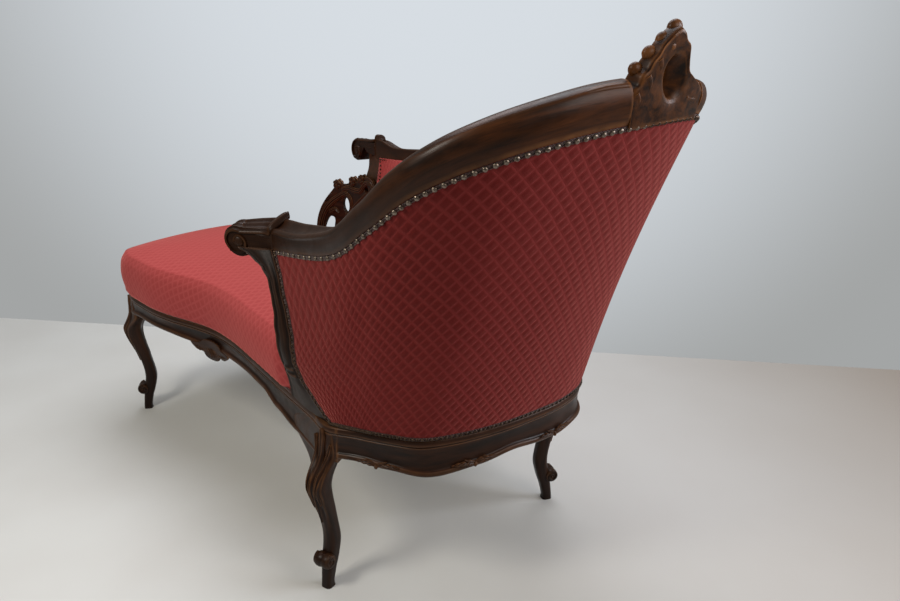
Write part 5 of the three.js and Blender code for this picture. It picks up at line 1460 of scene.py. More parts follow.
    def scroll(self, at_start: bool) -> bpy.types.Object:
        """Builds an arm scroll: a ridged ribbon wound round a sunk cheek, with a button."""
        back = self.back
        reach = self.front_reach if at_start else self.back_reach
        height = float(back.rail_height_at(np.array([0 if at_start else back.length]))[0])
        sign, shift = (1, 0) if at_start else (-1, back.length)
        lift = self.scroll_lift if at_start else self.scroll_lift + 6

        def place(x: np.ndarray, y: np.ndarray, d: np.ndarray) -> np.ndarray:
            """Lays the scroll past the end of the rail."""
            return back.on_rail(shift + sign * np.asarray(x, float), y, d)

        low = (self.thickness - self.scroll_width) / 2
        high = low + self.scroll_width
        r = self.scroll_radius
        arc = np.linspace(0.42 * math.pi, 1.62 * math.pi, 24)
        ends = np.array([(-0.6, 0.6), (-0.6, height + self.arm_sweep - 6)])
        curl = np.stack([-reach + (r - 2) * np.cos(arc), lift + (r - 2) * np.sin(arc)], -1)
        throat = ((-0.5, -0.14), (-0.2, -0.06)) if at_start else ((-0.7, 0.34), (-0.6, 0.6), (-0.46, 0.2))
        cheek = np.concatenate([ends, curl, np.array(throat) * (reach, height)])
        draft = Draft()
        plate(cheek, low + 3.5, high - 3.5, place, 1.0, 6, draft)
        turn = np.linspace(0.42 * math.pi, 3.1 * math.pi, 90)
        spin = (r - 4) * np.clip(1 - 0.1 * (turn - 1.2 * math.pi).clip(0) - 0.03 * (turn - 0.42 * math.pi), 0.3, 1)
        wound = np.stack([-reach + spin * np.cos(turn), lift + spin * np.sin(turn)], -1)
        lead = np.array([(-0.8, height - 3.5 + self.arm_sweep), (-reach * 0.35, height + 1)])
        path = np.concatenate([smooth_line(np.concatenate([lead, wound[:2]]), 16)[:-1], wound])
        run = unit(np.gradient(path, axis=0))
        normal = np.stack([run[:, 1], -run[:, 0]], axis=-1)
        centre = np.array([-reach, lift - 30])
        normal = np.where(dot(normal, path - centre) < 0, -normal, normal)
        t = np.linspace(0, 1, len(path))[:, None]
        depth = np.linspace(0, 1, 25)[None, :]
        ridged = 3.6 + 1.5 * np.cos(depth * 2 * math.pi * 3 - math.pi) * (1 - np.abs(2 * depth - 1) ** 6)
        ridged = ridged - 2.4 * np.abs(2 * depth - 1) ** 8
        taper = 1 - 0.45 * smoothstep(t, 0.55, 1)
        half = (self.scroll_width / 2) * (1 + 0.02 * t)
        d_out = (low + high) / 2 + (2 * depth - 1) * half
        upper = ridged * taper
        rows_x = path[:, :1] + normal[:, :1] * upper
        rows_y = path[:, 1:] + normal[:, 1:] * upper
        under_x = path[:, :1] - normal[:, :1] * 2.6 * taper + 0 * depth
        under_y = path[:, 1:] - normal[:, 1:] * 2.6 * taper + 0 * depth
        x = np.concatenate([rows_x, under_x[:, ::-1]], axis=1)
        y = np.concatenate([rows_y, under_y[:, ::-1]], axis=1)
        d = np.concatenate([d_out, d_out[:, ::-1]], axis=1)
        tilted = self.arm_lift(np.zeros(1) + shift, d) - self.arm_sweep
        y = y + tilted * (1 - smoothstep(t, 0.0, 0.42))
        draft.rings(place(x, y, d))
        for face, outwards in ((low + 4, -1), (high - 4, 1)):
            carver = Carver(draft, place, face, outwards)
            carver.knob(-reach, lift, r * 0.36, r * 0.36, 4.6)
            carver.roll(smooth_line([(-reach * 0.5, height * 0.62), (-reach * 0.3, height * 0.6),
                                     (-4, height * 0.62)], 20), (2, 3, 3.4), (2.4, 2.4, 2))
        name = "front_arm_scroll" if at_start else "back_arm_scroll"
        scroll = draft.make(name + "_carved", self.finishes.top_wood, sharp=50)
        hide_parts(name)
        return scroll

    def lug(self, at_start: bool) -> bpy.types.Object:
        """Builds the rounded bar that crosses the rail beside a scroll."""
        back = self.back
        height = float(back.rail_height_at(np.array([0 if at_start else back.length]))[0])
        place = 2 if at_start else back.length - 2
        low = (self.thickness - self.lug_width) / 2
        a = np.linspace(0, 2 * math.pi, 33)[:-1][None, :]
        t = np.linspace(0, 1, 25)[:, None]
        swell = np.sin(math.pi * np.clip(t, 0.035, 0.965)) ** 0.18
        ridge = 1 + 0.06 * np.cos(6 * a) * (np.sin(a) > -0.2)
        wide, tall, short = (8.5, 12, -3) if at_start else (10, 13, 5)
        x = place + wide * swell * ridge * np.cos(a)
        y = height + 2 + tall * swell * ridge * np.sin(a)
        y = np.maximum(y, height - 3)
        d = low + short + (self.lug_width - 2 * short) * t + 0 * a
        y = y + self.arm_lift(np.full_like(x, place), d)
        draft = Draft()
        draft.rings(back.on_rail(x, y, d))
        strap = Carver(draft, back.on_rail, low + 2, -1)
        for shift in (-3.6, 3.6):
            strap.roll(smooth_line([(place + shift, height + 2), (place + shift * 0.9, height * 0.5),
                                    (place + shift * 0.6, 1)], 24), (3.6, 3.2, 3), (2.6, 3.4, 3))
        name = "front_arm_lug" if at_start else "back_arm_lug"
        lug = draft.make(name + "_carved", self.finishes.top_wood, sharp=50)
        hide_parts(name)
        return lug

    def build(self) -> list[bpy.types.Object]:
        """Builds the rail's two lengths, the crest, the scrolls and the lugs."""
        back = self.back
        gap = 0.3
        pieces = [self.rail("front_top_rail", 0, back.crest_middle - back.crest_half - gap),
                  self.rail("back_top_rail", back.crest_middle + back.crest_half + gap, back.length),
                  self.crest()]
        for at_start in (True, False):
            pieces += [self.scroll(at_start), self.lug(at_start)]
        return pieces


@dataclass
class ArmPosts:
    """Curved posts between the seat rail and the ends of the top rail."""

    back: TubBack
    finishes: Finishes
    depth: float = 13
    # Face moulding from the seat edge: fixed distance, share of the width, height of the face.
    face: tuple = (
        (0, 0, 0.2), (0.4, 0, 2.2), (1.8, 0, 3.7), (3.4, 0, 3.5), (4.8, 0, 2.2), (5.6, 0.02, 1.9),
        (5, 0.12, 3.4), (3, 0.25, 4.9), (0, 0.4, 5.7), (0, 0.5, 5.9), (0, 0.6, 5.7), (-3, 0.75, 4.9),
        (-5, 0.88, 3.4), (-5.6, 0.98, 1.9), (-4.8, 1, 2.2), (-3.4, 1, 3.5), (-1.8, 1, 3.7),
        (-0.4, 1, 2.2), (0, 1, 0.2))

    def post(self, at_start: bool) -> bpy.types.Object:
        """Builds one post."""
        back = self.back
        v = np.linspace(0, 1, 90)
        right = back.post_edge(at_start, v, True)
        left = back.post_edge(at_start, v, False)
        face = unit((left - right) * np.array([1, 1, 0]))
        full = np.linalg.norm((left - right) * np.array([1, 1, 0]), axis=1)
        rise = (left[:, 2] - left[0, 2]) / (left[-1, 2] - left[0, 2])
        table = FRONT_POST_SEAT_SHIFTS if at_start else BACK_POST_SEAT_SHIFTS
        left = left - face * (full * steps_between(table, rise))[:, None]
        width = np.linalg.norm((left - right) * np.array([1, 1, 0]), axis=1, keepdims=True)
        into = np.stack([face[:, 1], -face[:, 0], np.zeros(len(v))], -1) * (1 if at_start else -1)
        rows = np.array(self.face)
        x = rows[:, 0][None, :] * np.minimum(1, width / 26) + rows[:, 1][None, :] * (width - 1)
        proud = rows[:, 2][None, :] * np.ones_like(width)
        collar = np.exp(-((rise - 0.215) / 0.013) ** 2) + np.exp(-((rise - 0.255) / 0.013) ** 2)
        proud = proud + 3.4 * collar[:, None] * (np.sin(math.pi * rows[:, 1])[None, :] > 0.2)
        front = left[:, None] - face[:, None] * x[..., None] - into[:, None] * proud[..., None]
        rear = np.stack([right + face + into * self.depth, left + into * self.depth], axis=1)
        draft = Draft()
        draft.rings(np.concatenate([front, rear], axis=1))
        name = "front_arm_post" if at_start else "back_arm_post"
        post = draft.make(name + "_carved", self.finishes.post_wood, sharp=50)
        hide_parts(name)
        return post

    def build(self) -> list[bpy.types.Object]:
        """Builds both posts."""
        return [self.post(True), self.post(False)]


@dataclass
class PiercedBracket:
    """Carved bracket from the far post down to the seat rail, with three flowers."""

    plan: SeatPlan
    back: TubBack
    finishes: Finishes
    reach: float = 148
    height: float = 232
    inset: float = 3
    thickness: float = 16
    flower: float = 13

    @property
    def start(self) -> float:
        """Running length of the bracket's foot beside the post."""
        return float(self.back.rows[-1][0]) - BACK_POST_SHARES[0][3] * self.back.post_foot

    def place(self, x: np.ndarray, y: np.ndarray, d: np.ndarray) -> np.ndarray:
        """Lays flat carving above the seat rail."""
        shape = np.shape(x)
        f = self.plan.frames(self.start + np.ravel(x), self.plan.rail_top)
        return f.point(np.ravel(d), np.ravel(y)).reshape(shape + (3,))

    def build(self) -> bpy.types.Object:
        """Builds the bracket."""
        size = np.array([self.reach, self.height])
        outline = np.concatenate([np.array(BRACKET_OUTER_SHARES), np.array(BRACKET_INNER_SHARES)]) * size
        fine = np.concatenate([smooth_line(np.array(BRACKET_OUTER_SHARES) * size, 60),
                               smooth_line(np.array(BRACKET_INNER_SHARES) * size, 70)])
        fine[:, 1] = np.maximum(fine[:, 1], 1.2)
        holes = []
        for x, y, w, h in ((0.2, 0.72, 0.1, 0.09), (-0.52, 0.98, 0.07, 0.045)):
            a = np.linspace(0, 2 * math.pi, 29)[:-1]
            holes.append(np.stack([(x + w * np.cos(a)) * size[0], (y + h * np.sin(a)) * size[1]], -1))
        draft = Draft()
        low, high = self.inset + 2.5, self.inset + self.thickness - 2.5
        plate(fine, low, high, self.place, 2.4, 9, draft, holes)
        strokes = (
            (((0.945, 0.02), (0.955, 0.23), (0.92, 0.42), (0.8, 0.6), (0.62, 0.72), (0.42, 0.8),
              (0.2, 0.86), (0.02, 0.8), (0.04, 0.66)), (10, 11, 11, 9, 6), (6, 7, 7, 6, 4)),
            (((0.3, 0.9), (0.1, 0.94), (-0.1, 0.93), (-0.3, 0.94), (-0.5, 1.04), (-0.68, 1.06),
              (-0.8, 1.0)), (7, 9, 9, 8, 5), (4, 6, 6, 6, 4)),
            (((0.16, 0.62), (0.2, 0.42), (0.3, 0.25), (0.42, 0.24), (0.5, 0.34), (0.46, 0.45),
              (0.37, 0.44)), (9, 9, 8, 6, 4), (6, 7, 7, 6, 5)),
            (((0.68, 0.6), (0.6, 0.62), (0.5, 0.64), (0.42, 0.6)), (7, 8, 7, 4), (5, 6, 6, 4)),
            (((0.1, 0.56), (-0.06, 0.7), (-0.3, 0.82), (-0.54, 0.92), (-0.78, 0.95)),
             (7, 7, 7, 6, 5), (4, 5, 5, 4, 3)))
        for face, outwards in ((low + 1, -1), (high - 1, 1)):
            carver = Carver(draft, self.place, face, outwards)
            for line, half, proud in strokes:
                carver.roll(smooth_line(np.array(line) * size, 60), half, proud, flutes=2)
            carver.leaf((0.3 * size[0], 0.5 * size[1]), (0.36 * size[0], 0.2 * size[1]), 13, 4, 4)
            carver.knob(0.4 * size[0], 0.4 * size[1], 9, 9, 8)
            for x, y in FLOWER_SHARES:
                carver.rosette(x * size[0], y * size[1], self.flower * 1.15, 6.5)
        bracket = draft.make("bracket_carved", self.finishes.frame_wood, sharp=50)
        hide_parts("pierced_bracket")
        return bracket


@dataclass
class RailCarving:
    """Shell on the front rail and leaf drops on the head rail."""

    plan: SeatPlan
    finishes: Finishes
    shell_half: float = 78
    shell_height: float = 48
    drop_half: float = 12
    drop_height: float = 40

    def between(self, start: str, end: str, share: float) -> float:
        """Running length at a share of the way from one leg to the next."""
        plan = self.plan
        return plan.leg(start) + share * float(np.mod(plan.leg(end) - plan.leg(start), plan.length))

    def place_at(self, middle: float, drop: float) -> Place:
        """Lays flat carving on a rail's face, y counted up from its lowest point."""
        def place(x: np.ndarray, y: np.ndarray, d: np.ndarray) -> np.ndarray:
            """Places the points."""
            shape = np.shape(x)
            f = self.plan.frames(middle + np.ravel(x), self.plan.rail_top - drop)
            return f.point(np.ravel(d), np.ravel(y)).reshape(shape + (3,))
        return place

    def build(self) -> list[bpy.types.Object]:
        """Builds the shell and the three drops."""
        middle = self.between("front_foot", "front_head", 0.42)
        place = self.place_at(middle, 75)
        draft = Draft()
        line = np.array(CARTOUCHE_SHARES) * (self.shell_half, self.shell_height)
        plate(smooth_line(line, 90, closed=True), -5.5, -0.5, place, 1.6, 9, draft)
        carver = Carver(draft, place, -3.4, -1)
        for k in range(-3, 4):
            tip = (k * 10.5, 5 + abs(k) * 2.6)
            carver.leaf((k * 3.5, 30), tip, 5, 3 - 0.3 * abs(k), lobes=1)
        for sign in (-1, 1):
            carver.leaf((sign * 26, 20), (sign * 74, 26), 7, 2.6, lobes=5, bend=-sign * 3)
            carver.spiral(sign * 29, 18, 5, 0, sign * 1.2, 2.2, 2.6)
        shell = draft.make("front_shell_carved", self.finishes.frame_wood, sharp=50)
        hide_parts("front_cartouche")
        pieces = [shell]
        for i, share in enumerate(DROP_PLACE_SHARES, 1):
            place = self.place_at(self.between("front_head", "back_head", share), 65)
            draft = Draft()
            carver = Carver(draft, place, -3.4, -1)
            carver.knob(0, 7, 3.6, 5, 3.4)
            for sign in (-1, 1):
                carver.leaf((sign * 2, 8), (sign * 44, 12), 4.6, 2.2, lobes=4, bend=sign * 2)
                carver.leaf((sign * 1, 12), (sign * 20, 19), 2.8, 1.6, lobes=2, bend=-sign)
            drop = draft.make(f"head_drop_{i}_carved", self.finishes.frame_wood, sharp=50)
            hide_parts(f"head_drop_{i}")
            pieces.append(drop)
        return pieces


@dataclass
class BackUpholstery:
    """Outer cover, braid, nails, inner pad and hessian of the tub back."""

    back: TubBack
    finishes: Finishes
    cover_thickness: float = 2.5
    gimp_width: float = 9
    gimp_thickness: float = 2
    gimp_margin: float = 0.8
    nail_pitch: float = 13.5
    nail_radius: float = 5
    pad_thickness: float = 46
    pad_edge: float = 9
    pad_inset: float = 24
    pad_end_run: float = 160
    pad_lift: float = 18
    pad_depth: float = 24.6
    hessian_depth: float = 22
    hessian_thickness: float = 1.6

    def rise_at(self, u: np.ndarray) -> np.ndarray:
        """Height of the fabric along the rake at each u."""
        return np.linalg.norm(self.back.top_edge(u) - self.back.bottom_edge(u), axis=1)

    def grid(self, lengths: np.ndarray, v: np.ndarray) -> tuple[Frames, np.ndarray, np.ndarray]:
        """Frames over a grid of top-edge lengths and heights, flattened, with both values."""
        lengths, v = np.broadcast_arrays(lengths, v)
        flat_l, flat_v = lengths.ravel(), v.ravel()
        return self.back.frames(self.back.place(flat_l), flat_v), lengths, v

    def cover(self) -> bpy.types.Object:
        """Builds the outer cover, drawn tight between its nails."""
        back = self.back
        lengths = np.linspace(0, back.length, 420)[:, None]
        v = np.linspace(0, 1, 90)[None, :]
        frames, ls, vs = self.grid(lengths, v)
        tall = self.rise_at(back.place(ls.ravel())).reshape(ls.shape)
        below, above = (1 - vs) * tall, vs * tall
        ripple = np.cos(2 * math.pi * ls / self.nail_pitch)
        pull = (0.9 * np.exp(-below / 16) + 0.6 * np.exp(-above / 12)) * ripple
        swell = 2.2 * (1 - np.exp(-below / 10)) * (1 - np.exp(-above / 10)) * smoothstep(
            np.minimum(ls, back.length - ls), 0, 40)
        drift = 0.8 * np.sin(ls / 61 + 2 * vs) * np.sin(math.pi * vs) * smoothstep(ls, 0, 120)
        lift = -(swell + pull * 0.5 + drift) + 0.6
        outer = (frames.origin + frames.across * lift.ravel()[:, None]).reshape(ls.shape + (3,))
        inner = (frames.origin + frames.across * self.cover_thickness).reshape(ls.shape + (3,))
        rings = np.concatenate([outer, inner[:, ::-1]], axis=1)
        middle = back.point(back.place(lengths[:, 0]), np.full(len(lengths), 0.5))
        along = np.concatenate([[0], np.cumsum(np.linalg.norm(np.diff(middle, axis=0), axis=1))])
        up = (vs - 0.5) * tall
        uv = np.stack([np.broadcast_to(along[:, None], up.shape), up], axis=-1)
        uv = np.concatenate([uv, uv[:, ::-1], uv[:, :1]], axis=1) * MM
        draft = Draft()
        draft.rings(rings, uv=uv)
        cover = draft.make("outer_cover_cloth", self.finishes.back_cloth_shaded, sharp=60)
        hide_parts("outer_back_cover")
        return cover

    def ribbon(self, draft: Draft, spots: np.ndarray, side: np.ndarray, out: np.ndarray) -> None:
        """Adds a run of gimp: two cords that swell and turn, on a flat web.

        Args:
            draft: the piece it belongs to.
            spots: points of its middle.
            side: unit directions across it.
            out: unit directions off the cloth.
        """
        gone = np.concatenate([[0], np.cumsum(np.linalg.norm(np.diff(spots, axis=0), axis=1))])
        w = np.linspace(-1, 1, 11)[None, :]
        wave = np.sin(2 * math.pi * (gone[:, None] / 5.2 + 0.25 * np.sign(w)))
        cord = np.exp(-((np.abs(w) - 0.6) / 0.3) ** 2)
        high = self.gimp_thickness * (0.35 + 0.75 * cord * (0.8 + 0.3 * wave)) * (1 - w ** 8)
        upper = (spots[:, None] + side[:, None] * (w * self.gimp_width / 2)[..., None]
                 + out[:, None] * (0.4 + high)[..., None])
        lower = (spots[:, None] + side[:, None] * (w * self.gimp_width / 2)[..., None]
                 + out[:, None] * 0.3)[:, ::-1]
        draft.rings(np.concatenate([upper, lower], axis=1))

    def edge_run(self, name: str, step: float) -> tuple[np.ndarray, np.ndarray, np.ndarray]:
        """Middle line of a nailed edge.

        Args:
            name: 'top', 'bottom', 'front' or 'back', or 'pad' for the far end of the inner pad.
            step: spacing of the points.

        Returns:
            Points, unit directions across the edge and unit directions off the cloth.
        """
        back = self.back
        far = self.gimp_margin + self.gimp_width / 2
        if name in ("top", "bottom"):
            lengths = np.arange(far, back.length - far, step)
            u = back.place(lengths)
            share = far / self.rise_at(u)
            f = back.frames(u, 1 - share if name == "top" else share)
            side = f.up
        elif name == "pad":
            lengths = np.arange(back.length - 420, back.length - self.pad_inset - 4, step)
            across = back.frames(back.place(lengths), np.full(len(lengths), 0.955))
            v = np.arange(0.3, 0.95, step / 300)
            down = back.frames(np.full(len(v), back.place(np.array([lengths[-1]]))[0]), v)
            f = Frames(*(np.concatenate([getattr(across, k), getattr(down, k)])
                         for k in ("origin", "across", "up")))
            return f.origin + f.across * (self.pad_depth + self.pad_edge - 1), f.up, f.across
        else:
            length = far if name == "front" else back.length - far
            u0 = float(back.place(np.array([length]))[0])
            tall = float(self.rise_at(np.array([u0]))[0])
            v = np.arange(2 * far, tall - 2 * far, step) / tall
            f = back.frames(np.full(len(v), u0), v)
            side = unit(np.cross(f.up, f.across))
        return f.origin, side, -f.across

    def gimps(self) -> list[bpy.types.Object]:
        """Builds the braid round the outer cover."""
        pieces = []
        for edge, node in (("top", "top_gimp"), ("bottom", "bottom_gimp"),
                           ("front", "front_post_gimp"), ("back", "back_post_gimp")):
            draft = Draft()
            self.ribbon(draft, *self.edge_run(edge, 1.3))
            gimp = draft.make(node + "_braid", self.finishes.braid, sharp=60)
            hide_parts(node)
            pieces.append(gimp)
        return pieces

    def nails(self) -> list[bpy.types.Object]:
        """Builds the domed nails along each edge of the cover."""
        pieces = []
        for edge, pitch, radius in (("top", 14, 4.2), ("bottom", 11.5, 3.4), ("front", 11.5, 3.6),
                                    ("back", 11.5, 3.6), ("pad", 9.5, 2.6)):
            spots, side, out = self.edge_run(edge, pitch if edge != "top" else 1.0)
            spots = spots + out * 1.9
            if edge == "top":
                picked = [2]
                while picked[-1] + 30 < len(spots):
                    here = min(picked[-1], len(spots) - picked[-1])
                    picked.append(picked[-1] + round(24 - 10 * float(smoothstep(here, 180, 460))))
                spots, side, out = spots[picked], side[picked], out[picked]
                gone = np.array(picked, float)
                # Part of the top row takes the bright copy, painted highlight where the nails catch the light; the
                # rest take the dull copy, painted shade.
                shining = (gone > 25) & (gone < self.back.crest_middle - 40)
                groups = (("bright", shining, self.finishes.lit_nail),
                          ("dull", ~shining, self.finishes.shaded_nail))
            else:
                groups = (("dull", np.full(len(spots), True), self.finishes.shaded_nail),)
            for label, chosen, finish in groups:
                draft = Draft()
                for p, q, n in zip(spots[chosen], side[chosen], out[chosen]):
                    add_nail(draft, p, q, n, radius)
                nails = draft.make(f"nails_{edge}_{label}", finish, sharp=60)
                pieces.append(nails)
        return pieces

    def pad_foot(self, u: np.ndarray) -> np.ndarray:
        """Heights at which the pad starts, above the seat's tucked edge."""
        low, high = np.zeros(len(u)), np.ones(len(u))
        for _ in range(18):
            middle = (low + high) / 2
            under = self.back.point(u, middle)[:, 2] < self.back.plan.rail_top + self.pad_lift
            low, high = np.where(under, middle, low), np.where(under, high, middle)
        return high

    def pad(self) -> bpy.types.Object:
        """Builds the stuffed pad inside the tub."""
        back = self.back
        lengths = np.linspace(self.pad_inset, back.length - self.pad_inset, 300)
        u = back.place(lengths)
        foot = self.pad_foot(u)[:, None]
        t = np.linspace(0, 1, 64)[None, :]
        top = 0.968
        v = foot + (top - foot) * t
        frames, ls, vs = self.grid(lengths[:, None], v)
        from_end = np.minimum(ls, back.length - ls) - self.pad_inset
        full = smoothstep(from_end, 0, self.pad_end_run)
        crown = np.sin(math.pi * (0.08 + 0.86 * t)) ** 0.6
        depth = self.pad_edge + (self.pad_thickness - self.pad_edge) * crown * full
        front = frames.origin + frames.across * (self.pad_depth + depth).reshape(-1, 1)
        rear = frames.origin + frames.across * self.pad_depth
        front, rear = front.reshape(ls.shape + (3,)), rear.reshape(ls.shape + (3,))
        middle = back.point(u, np.full(len(u), 0.5))
        along = np.concatenate([[0], np.cumsum(np.linalg.norm(np.diff(middle, axis=0), axis=1))])
        up = np.cumsum(np.linalg.norm(np.diff(front, axis=1, prepend=front[:, :1]), axis=2), axis=1)
        uv = np.stack([np.broadcast_to(along[:, None], up.shape), up], axis=-1)
        uv = np.concatenate([uv, uv[:, ::-1], uv[:, :1]], axis=1) * MM
        draft = Draft()
        draft.rings(np.concatenate([front, rear[:, ::-1]], axis=1), uv=uv)
        pad = draft.make("inner_pad_stuffed", self.finishes.seat_cloth, sharp=70)
        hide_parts("inner_back_pad")
        return pad

    def hessian(self) -> bpy.types.Object:
        """Builds the hessian between the slats and the pad."""
        back = self.back
        lengths = np.linspace(self.pad_inset, back.length - self.pad_inset, 160)
        u = back.place(lengths)
        foot = self.pad_foot(u)[:, None]
        v = foot + (0.968 - foot) * np.linspace(0, 1, 24)[None, :]
        frames, ls, vs = self.grid(lengths[:, None], v)
        front = (frames.origin + frames.across * (self.hessian_depth + self.hessian_thickness))
        rear = (frames.origin + frames.across * self.hessian_depth)
        front, rear = front.reshape(ls.shape + (3,)), rear.reshape(ls.shape + (3,))
        draft = Draft()
        draft.rings(np.concatenate([front, rear[:, ::-1]], axis=1))
        sheet = draft.make("back_hessian_cloth", self.finishes.hessian, sharp=60)
        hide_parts("back_hessian")
        return sheet

    def build(self) -> list[bpy.types.Object]:
        """Builds everything that covers the back."""
        return [self.cover(), *self.gimps(), *self.nails(), self.pad(), self.hessian()]


def add_nail(draft: Draft, spot: np.ndarray, side: np.ndarray, out: np.ndarray,
             radius: float) -> None:
    """Adds one domed nail head to a draft."""
    other = np.cross(out, side)
    a = np.linspace(0, 2 * math.pi, 13)[:-1][None, :, None]
    shape = np.array([(1, 0), (1.0, 0.16), (0.9, 0.4), (0.68, 0.62), (0.38, 0.76), (0.06, 0.82)]) * radius
    ring = (shape[:, :1, None] * (np.cos(a) * side + np.sin(a) * other)
            + shape[:, 1:, None] * out)
    draft.rings(spot + ring)


@dataclass
class SeatUpholstery:
    """Stuffed seat, its braid, and the springs and cloths below it."""

    plan: SeatPlan
    back: TubBack
    finishes: Finishes
    crown: float = 132
    bulge: float = 13
    lip: float = 3
    tuck: float = 24
    tuck_height: float = 15
    post_inset: float = 40
    inside_inset: float = 84
    blend: float = 60
    wall: float = 30
    recess: float = 69
    shoulder_sag: float = 11
    bracket_reach: float = 148
    columns: int = 360

    def inset(self, s: np.ndarray) -> np.ndarray:
        """How far the seat's side stands in from the outline at running lengths s."""
        front_s, back_s = float(self.back.rows[0][0]), float(self.back.rows[-1][0])
        front_end = front_s + FRONT_POST_SHARES[0][3] * self.back.post_foot
        back_end = back_s - BACK_POST_SHARES[0][3] * self.back.post_foot
        bracket_end = back_end + self.bracket_reach
        rows = ((front_end - 0.8 * self.blend, 0), (front_end + self.blend / 5, self.post_inset * 0.7),
                (front_s + self.blend / 2, self.inside_inset),
                (back_s - 2 * self.blend, self.inside_inset), (back_s, self.post_inset),
                (bracket_end + self.blend / 6, self.post_inset), (bracket_end + 2 * self.blend, 0))
        place = rows[0][0] + np.mod(s - rows[0][0], self.plan.length)
        return np.where(place >= rows[-1][0], 0, steps_between(rows, place))

    def ring(self, inset: np.ndarray, z: float) -> np.ndarray:
        """Ring of points at an inset from the outline, at a height above the rail's top."""
        s = np.linspace(0, self.plan.length, self.columns + 1)[:-1]
        spots = self.plan.point(s)
        spots = spots + self.plan.inward(spots) * inset[:, None]
        spots[:, 2] = self.plan.rail_top + z
        return spots

    def sunk(self) -> np.ndarray:
        """How far the seat's shoulder sits lower beside the pierced bracket, all round."""
        s = np.linspace(0, self.plan.length, self.columns + 1)[:-1]
        post = float(self.back.rows[-1][0])
        far = post - BACK_POST_SHARES[0][3] * self.back.post_foot + self.bracket_reach
        place = post - 200 + np.mod(s - post + 200, self.plan.length)
        return self.shoulder_sag * smoothstep(place, post - 200, post) * (
            1 - smoothstep(place, far + 60, far + 260))

    def sides(self) -> tuple[np.ndarray, np.ndarray]:
        """Inset of the seat's side and share of it covered by the back, all round."""
        side = self.inset(np.linspace(0, self.plan.length, self.columns + 1)[:-1])
        return side, np.minimum(side / self.post_inset, 1)

    def cushion(self) -> bpy.types.Object:
        """Builds the crowned seat with its drawn-in sides."""
        side, covered = self.sides()
        tucked = self.lip + (self.tuck - self.lip) * covered
        walls = tucked + self.wall
        deep = np.maximum(walls, side + self.wall / 2)
        low_side = (side - self.bulge * SEAT_SIDE_SHARES[0][0]) * (1 - covered) + tucked * covered
        under = [self.ring(deep + 6, self.recess), self.ring(deep, 9.3), self.ring(walls, 6.3),
                 self.ring(walls, 0.3), self.ring(tucked, 0.3)]
        start = np.stack([tucked * (1 - covered) + tucked * covered, low_side], 0)
        rows = [(self.ring(start[0], 0.3)), (self.ring(start[0] * 0.5 + start[1] * 0.5, 4)),
                (self.ring(start[1], self.tuck_height * 0.8))]
        knots = [(b, h) for b, h in SEAT_SIDE_SHARES]
        sunk = self.sunk()
        for bulge, high in curve_through(knots, np.linspace(0, 1, 22)):
            rows.append(self.ring(side - self.bulge * bulge * (1 - covered)
                                  + self.bulge * (1 - bulge) / 2 * covered,
                                  (self.crown - sunk * smoothstep(high, 0.2, 0.8)) * high))
        rim = rows[-1]
        heart = self.plan.middle(rim)
        seam = self.plan.seam(rim)
        top = [(0, SEAT_SIDE_SHARES[-1][1])] + list(SEAT_TOP_SHARES) + [(1, 1.0)]
        draw = np.linspace(0, 1, 34)[1:]
        shares = np.array(top)
        high = np.interp(draw, shares[:, 0], shares[:, 1])
        soft = curve_through([[s[1]] for s in top], np.interp(draw, shares[:, 0],
                                                              np.linspace(0, 1, len(top))))[:, 0]
        for d, h, g in zip(draw, high, soft):
            ring = rim + (seam - rim) * d
            ring[:, 2] = self.plan.rail_top + self.crown * (0.4 * h + 0.6 * g)
            ring[:, 2] -= sunk * (1 - smoothstep(d, 0.0, 0.7))
            rows.append(ring)
        skin = np.stack(rows)
        s = np.linspace(0, self.plan.length, self.columns + 1)[:-1]
        pull = 0.8 * np.cos(2 * math.pi * s / 24)
        for k in range(1, 8):
            skin[k] += self.plan.inward(skin[k]) * (pull * math.exp(-k / 2.5) * (1 - covered))[:, None]
        side_rows = len(skin) - len(draw)
        path = np.linalg.norm(np.diff(skin[:side_rows], axis=0), axis=2)
        down = np.concatenate([np.cumsum(path[::-1], axis=0)[::-1], np.zeros((1, self.columns))])
        uv = skin[..., :2].copy()
        uv[:side_rows] = (rim + self.plan.outward(s) * down[..., None])[..., :2]
        uv = np.concatenate([uv, uv[:, :1]], axis=1) * MM
        draft = Draft()
        draft.rings(skin, caps=False, uv=uv)
        draft.rings(np.stack(under), caps=False)
        draft.rings(np.stack([under[0], self.flattened(under[0], seam)]), caps=False)
        cushion = draft.make("seat_stuffed", self.finishes.seat_cloth, sharp=75, weld=0.05)
        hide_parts("seat_cushion")
        return cushion

    @staticmethod
    def flattened(ring: np.ndarray, seam: np.ndarray) -> np.ndarray:
        """The seam's places at the height of a ring."""
        return np.concatenate([seam[:, :2], ring[:, 2:]], axis=1)

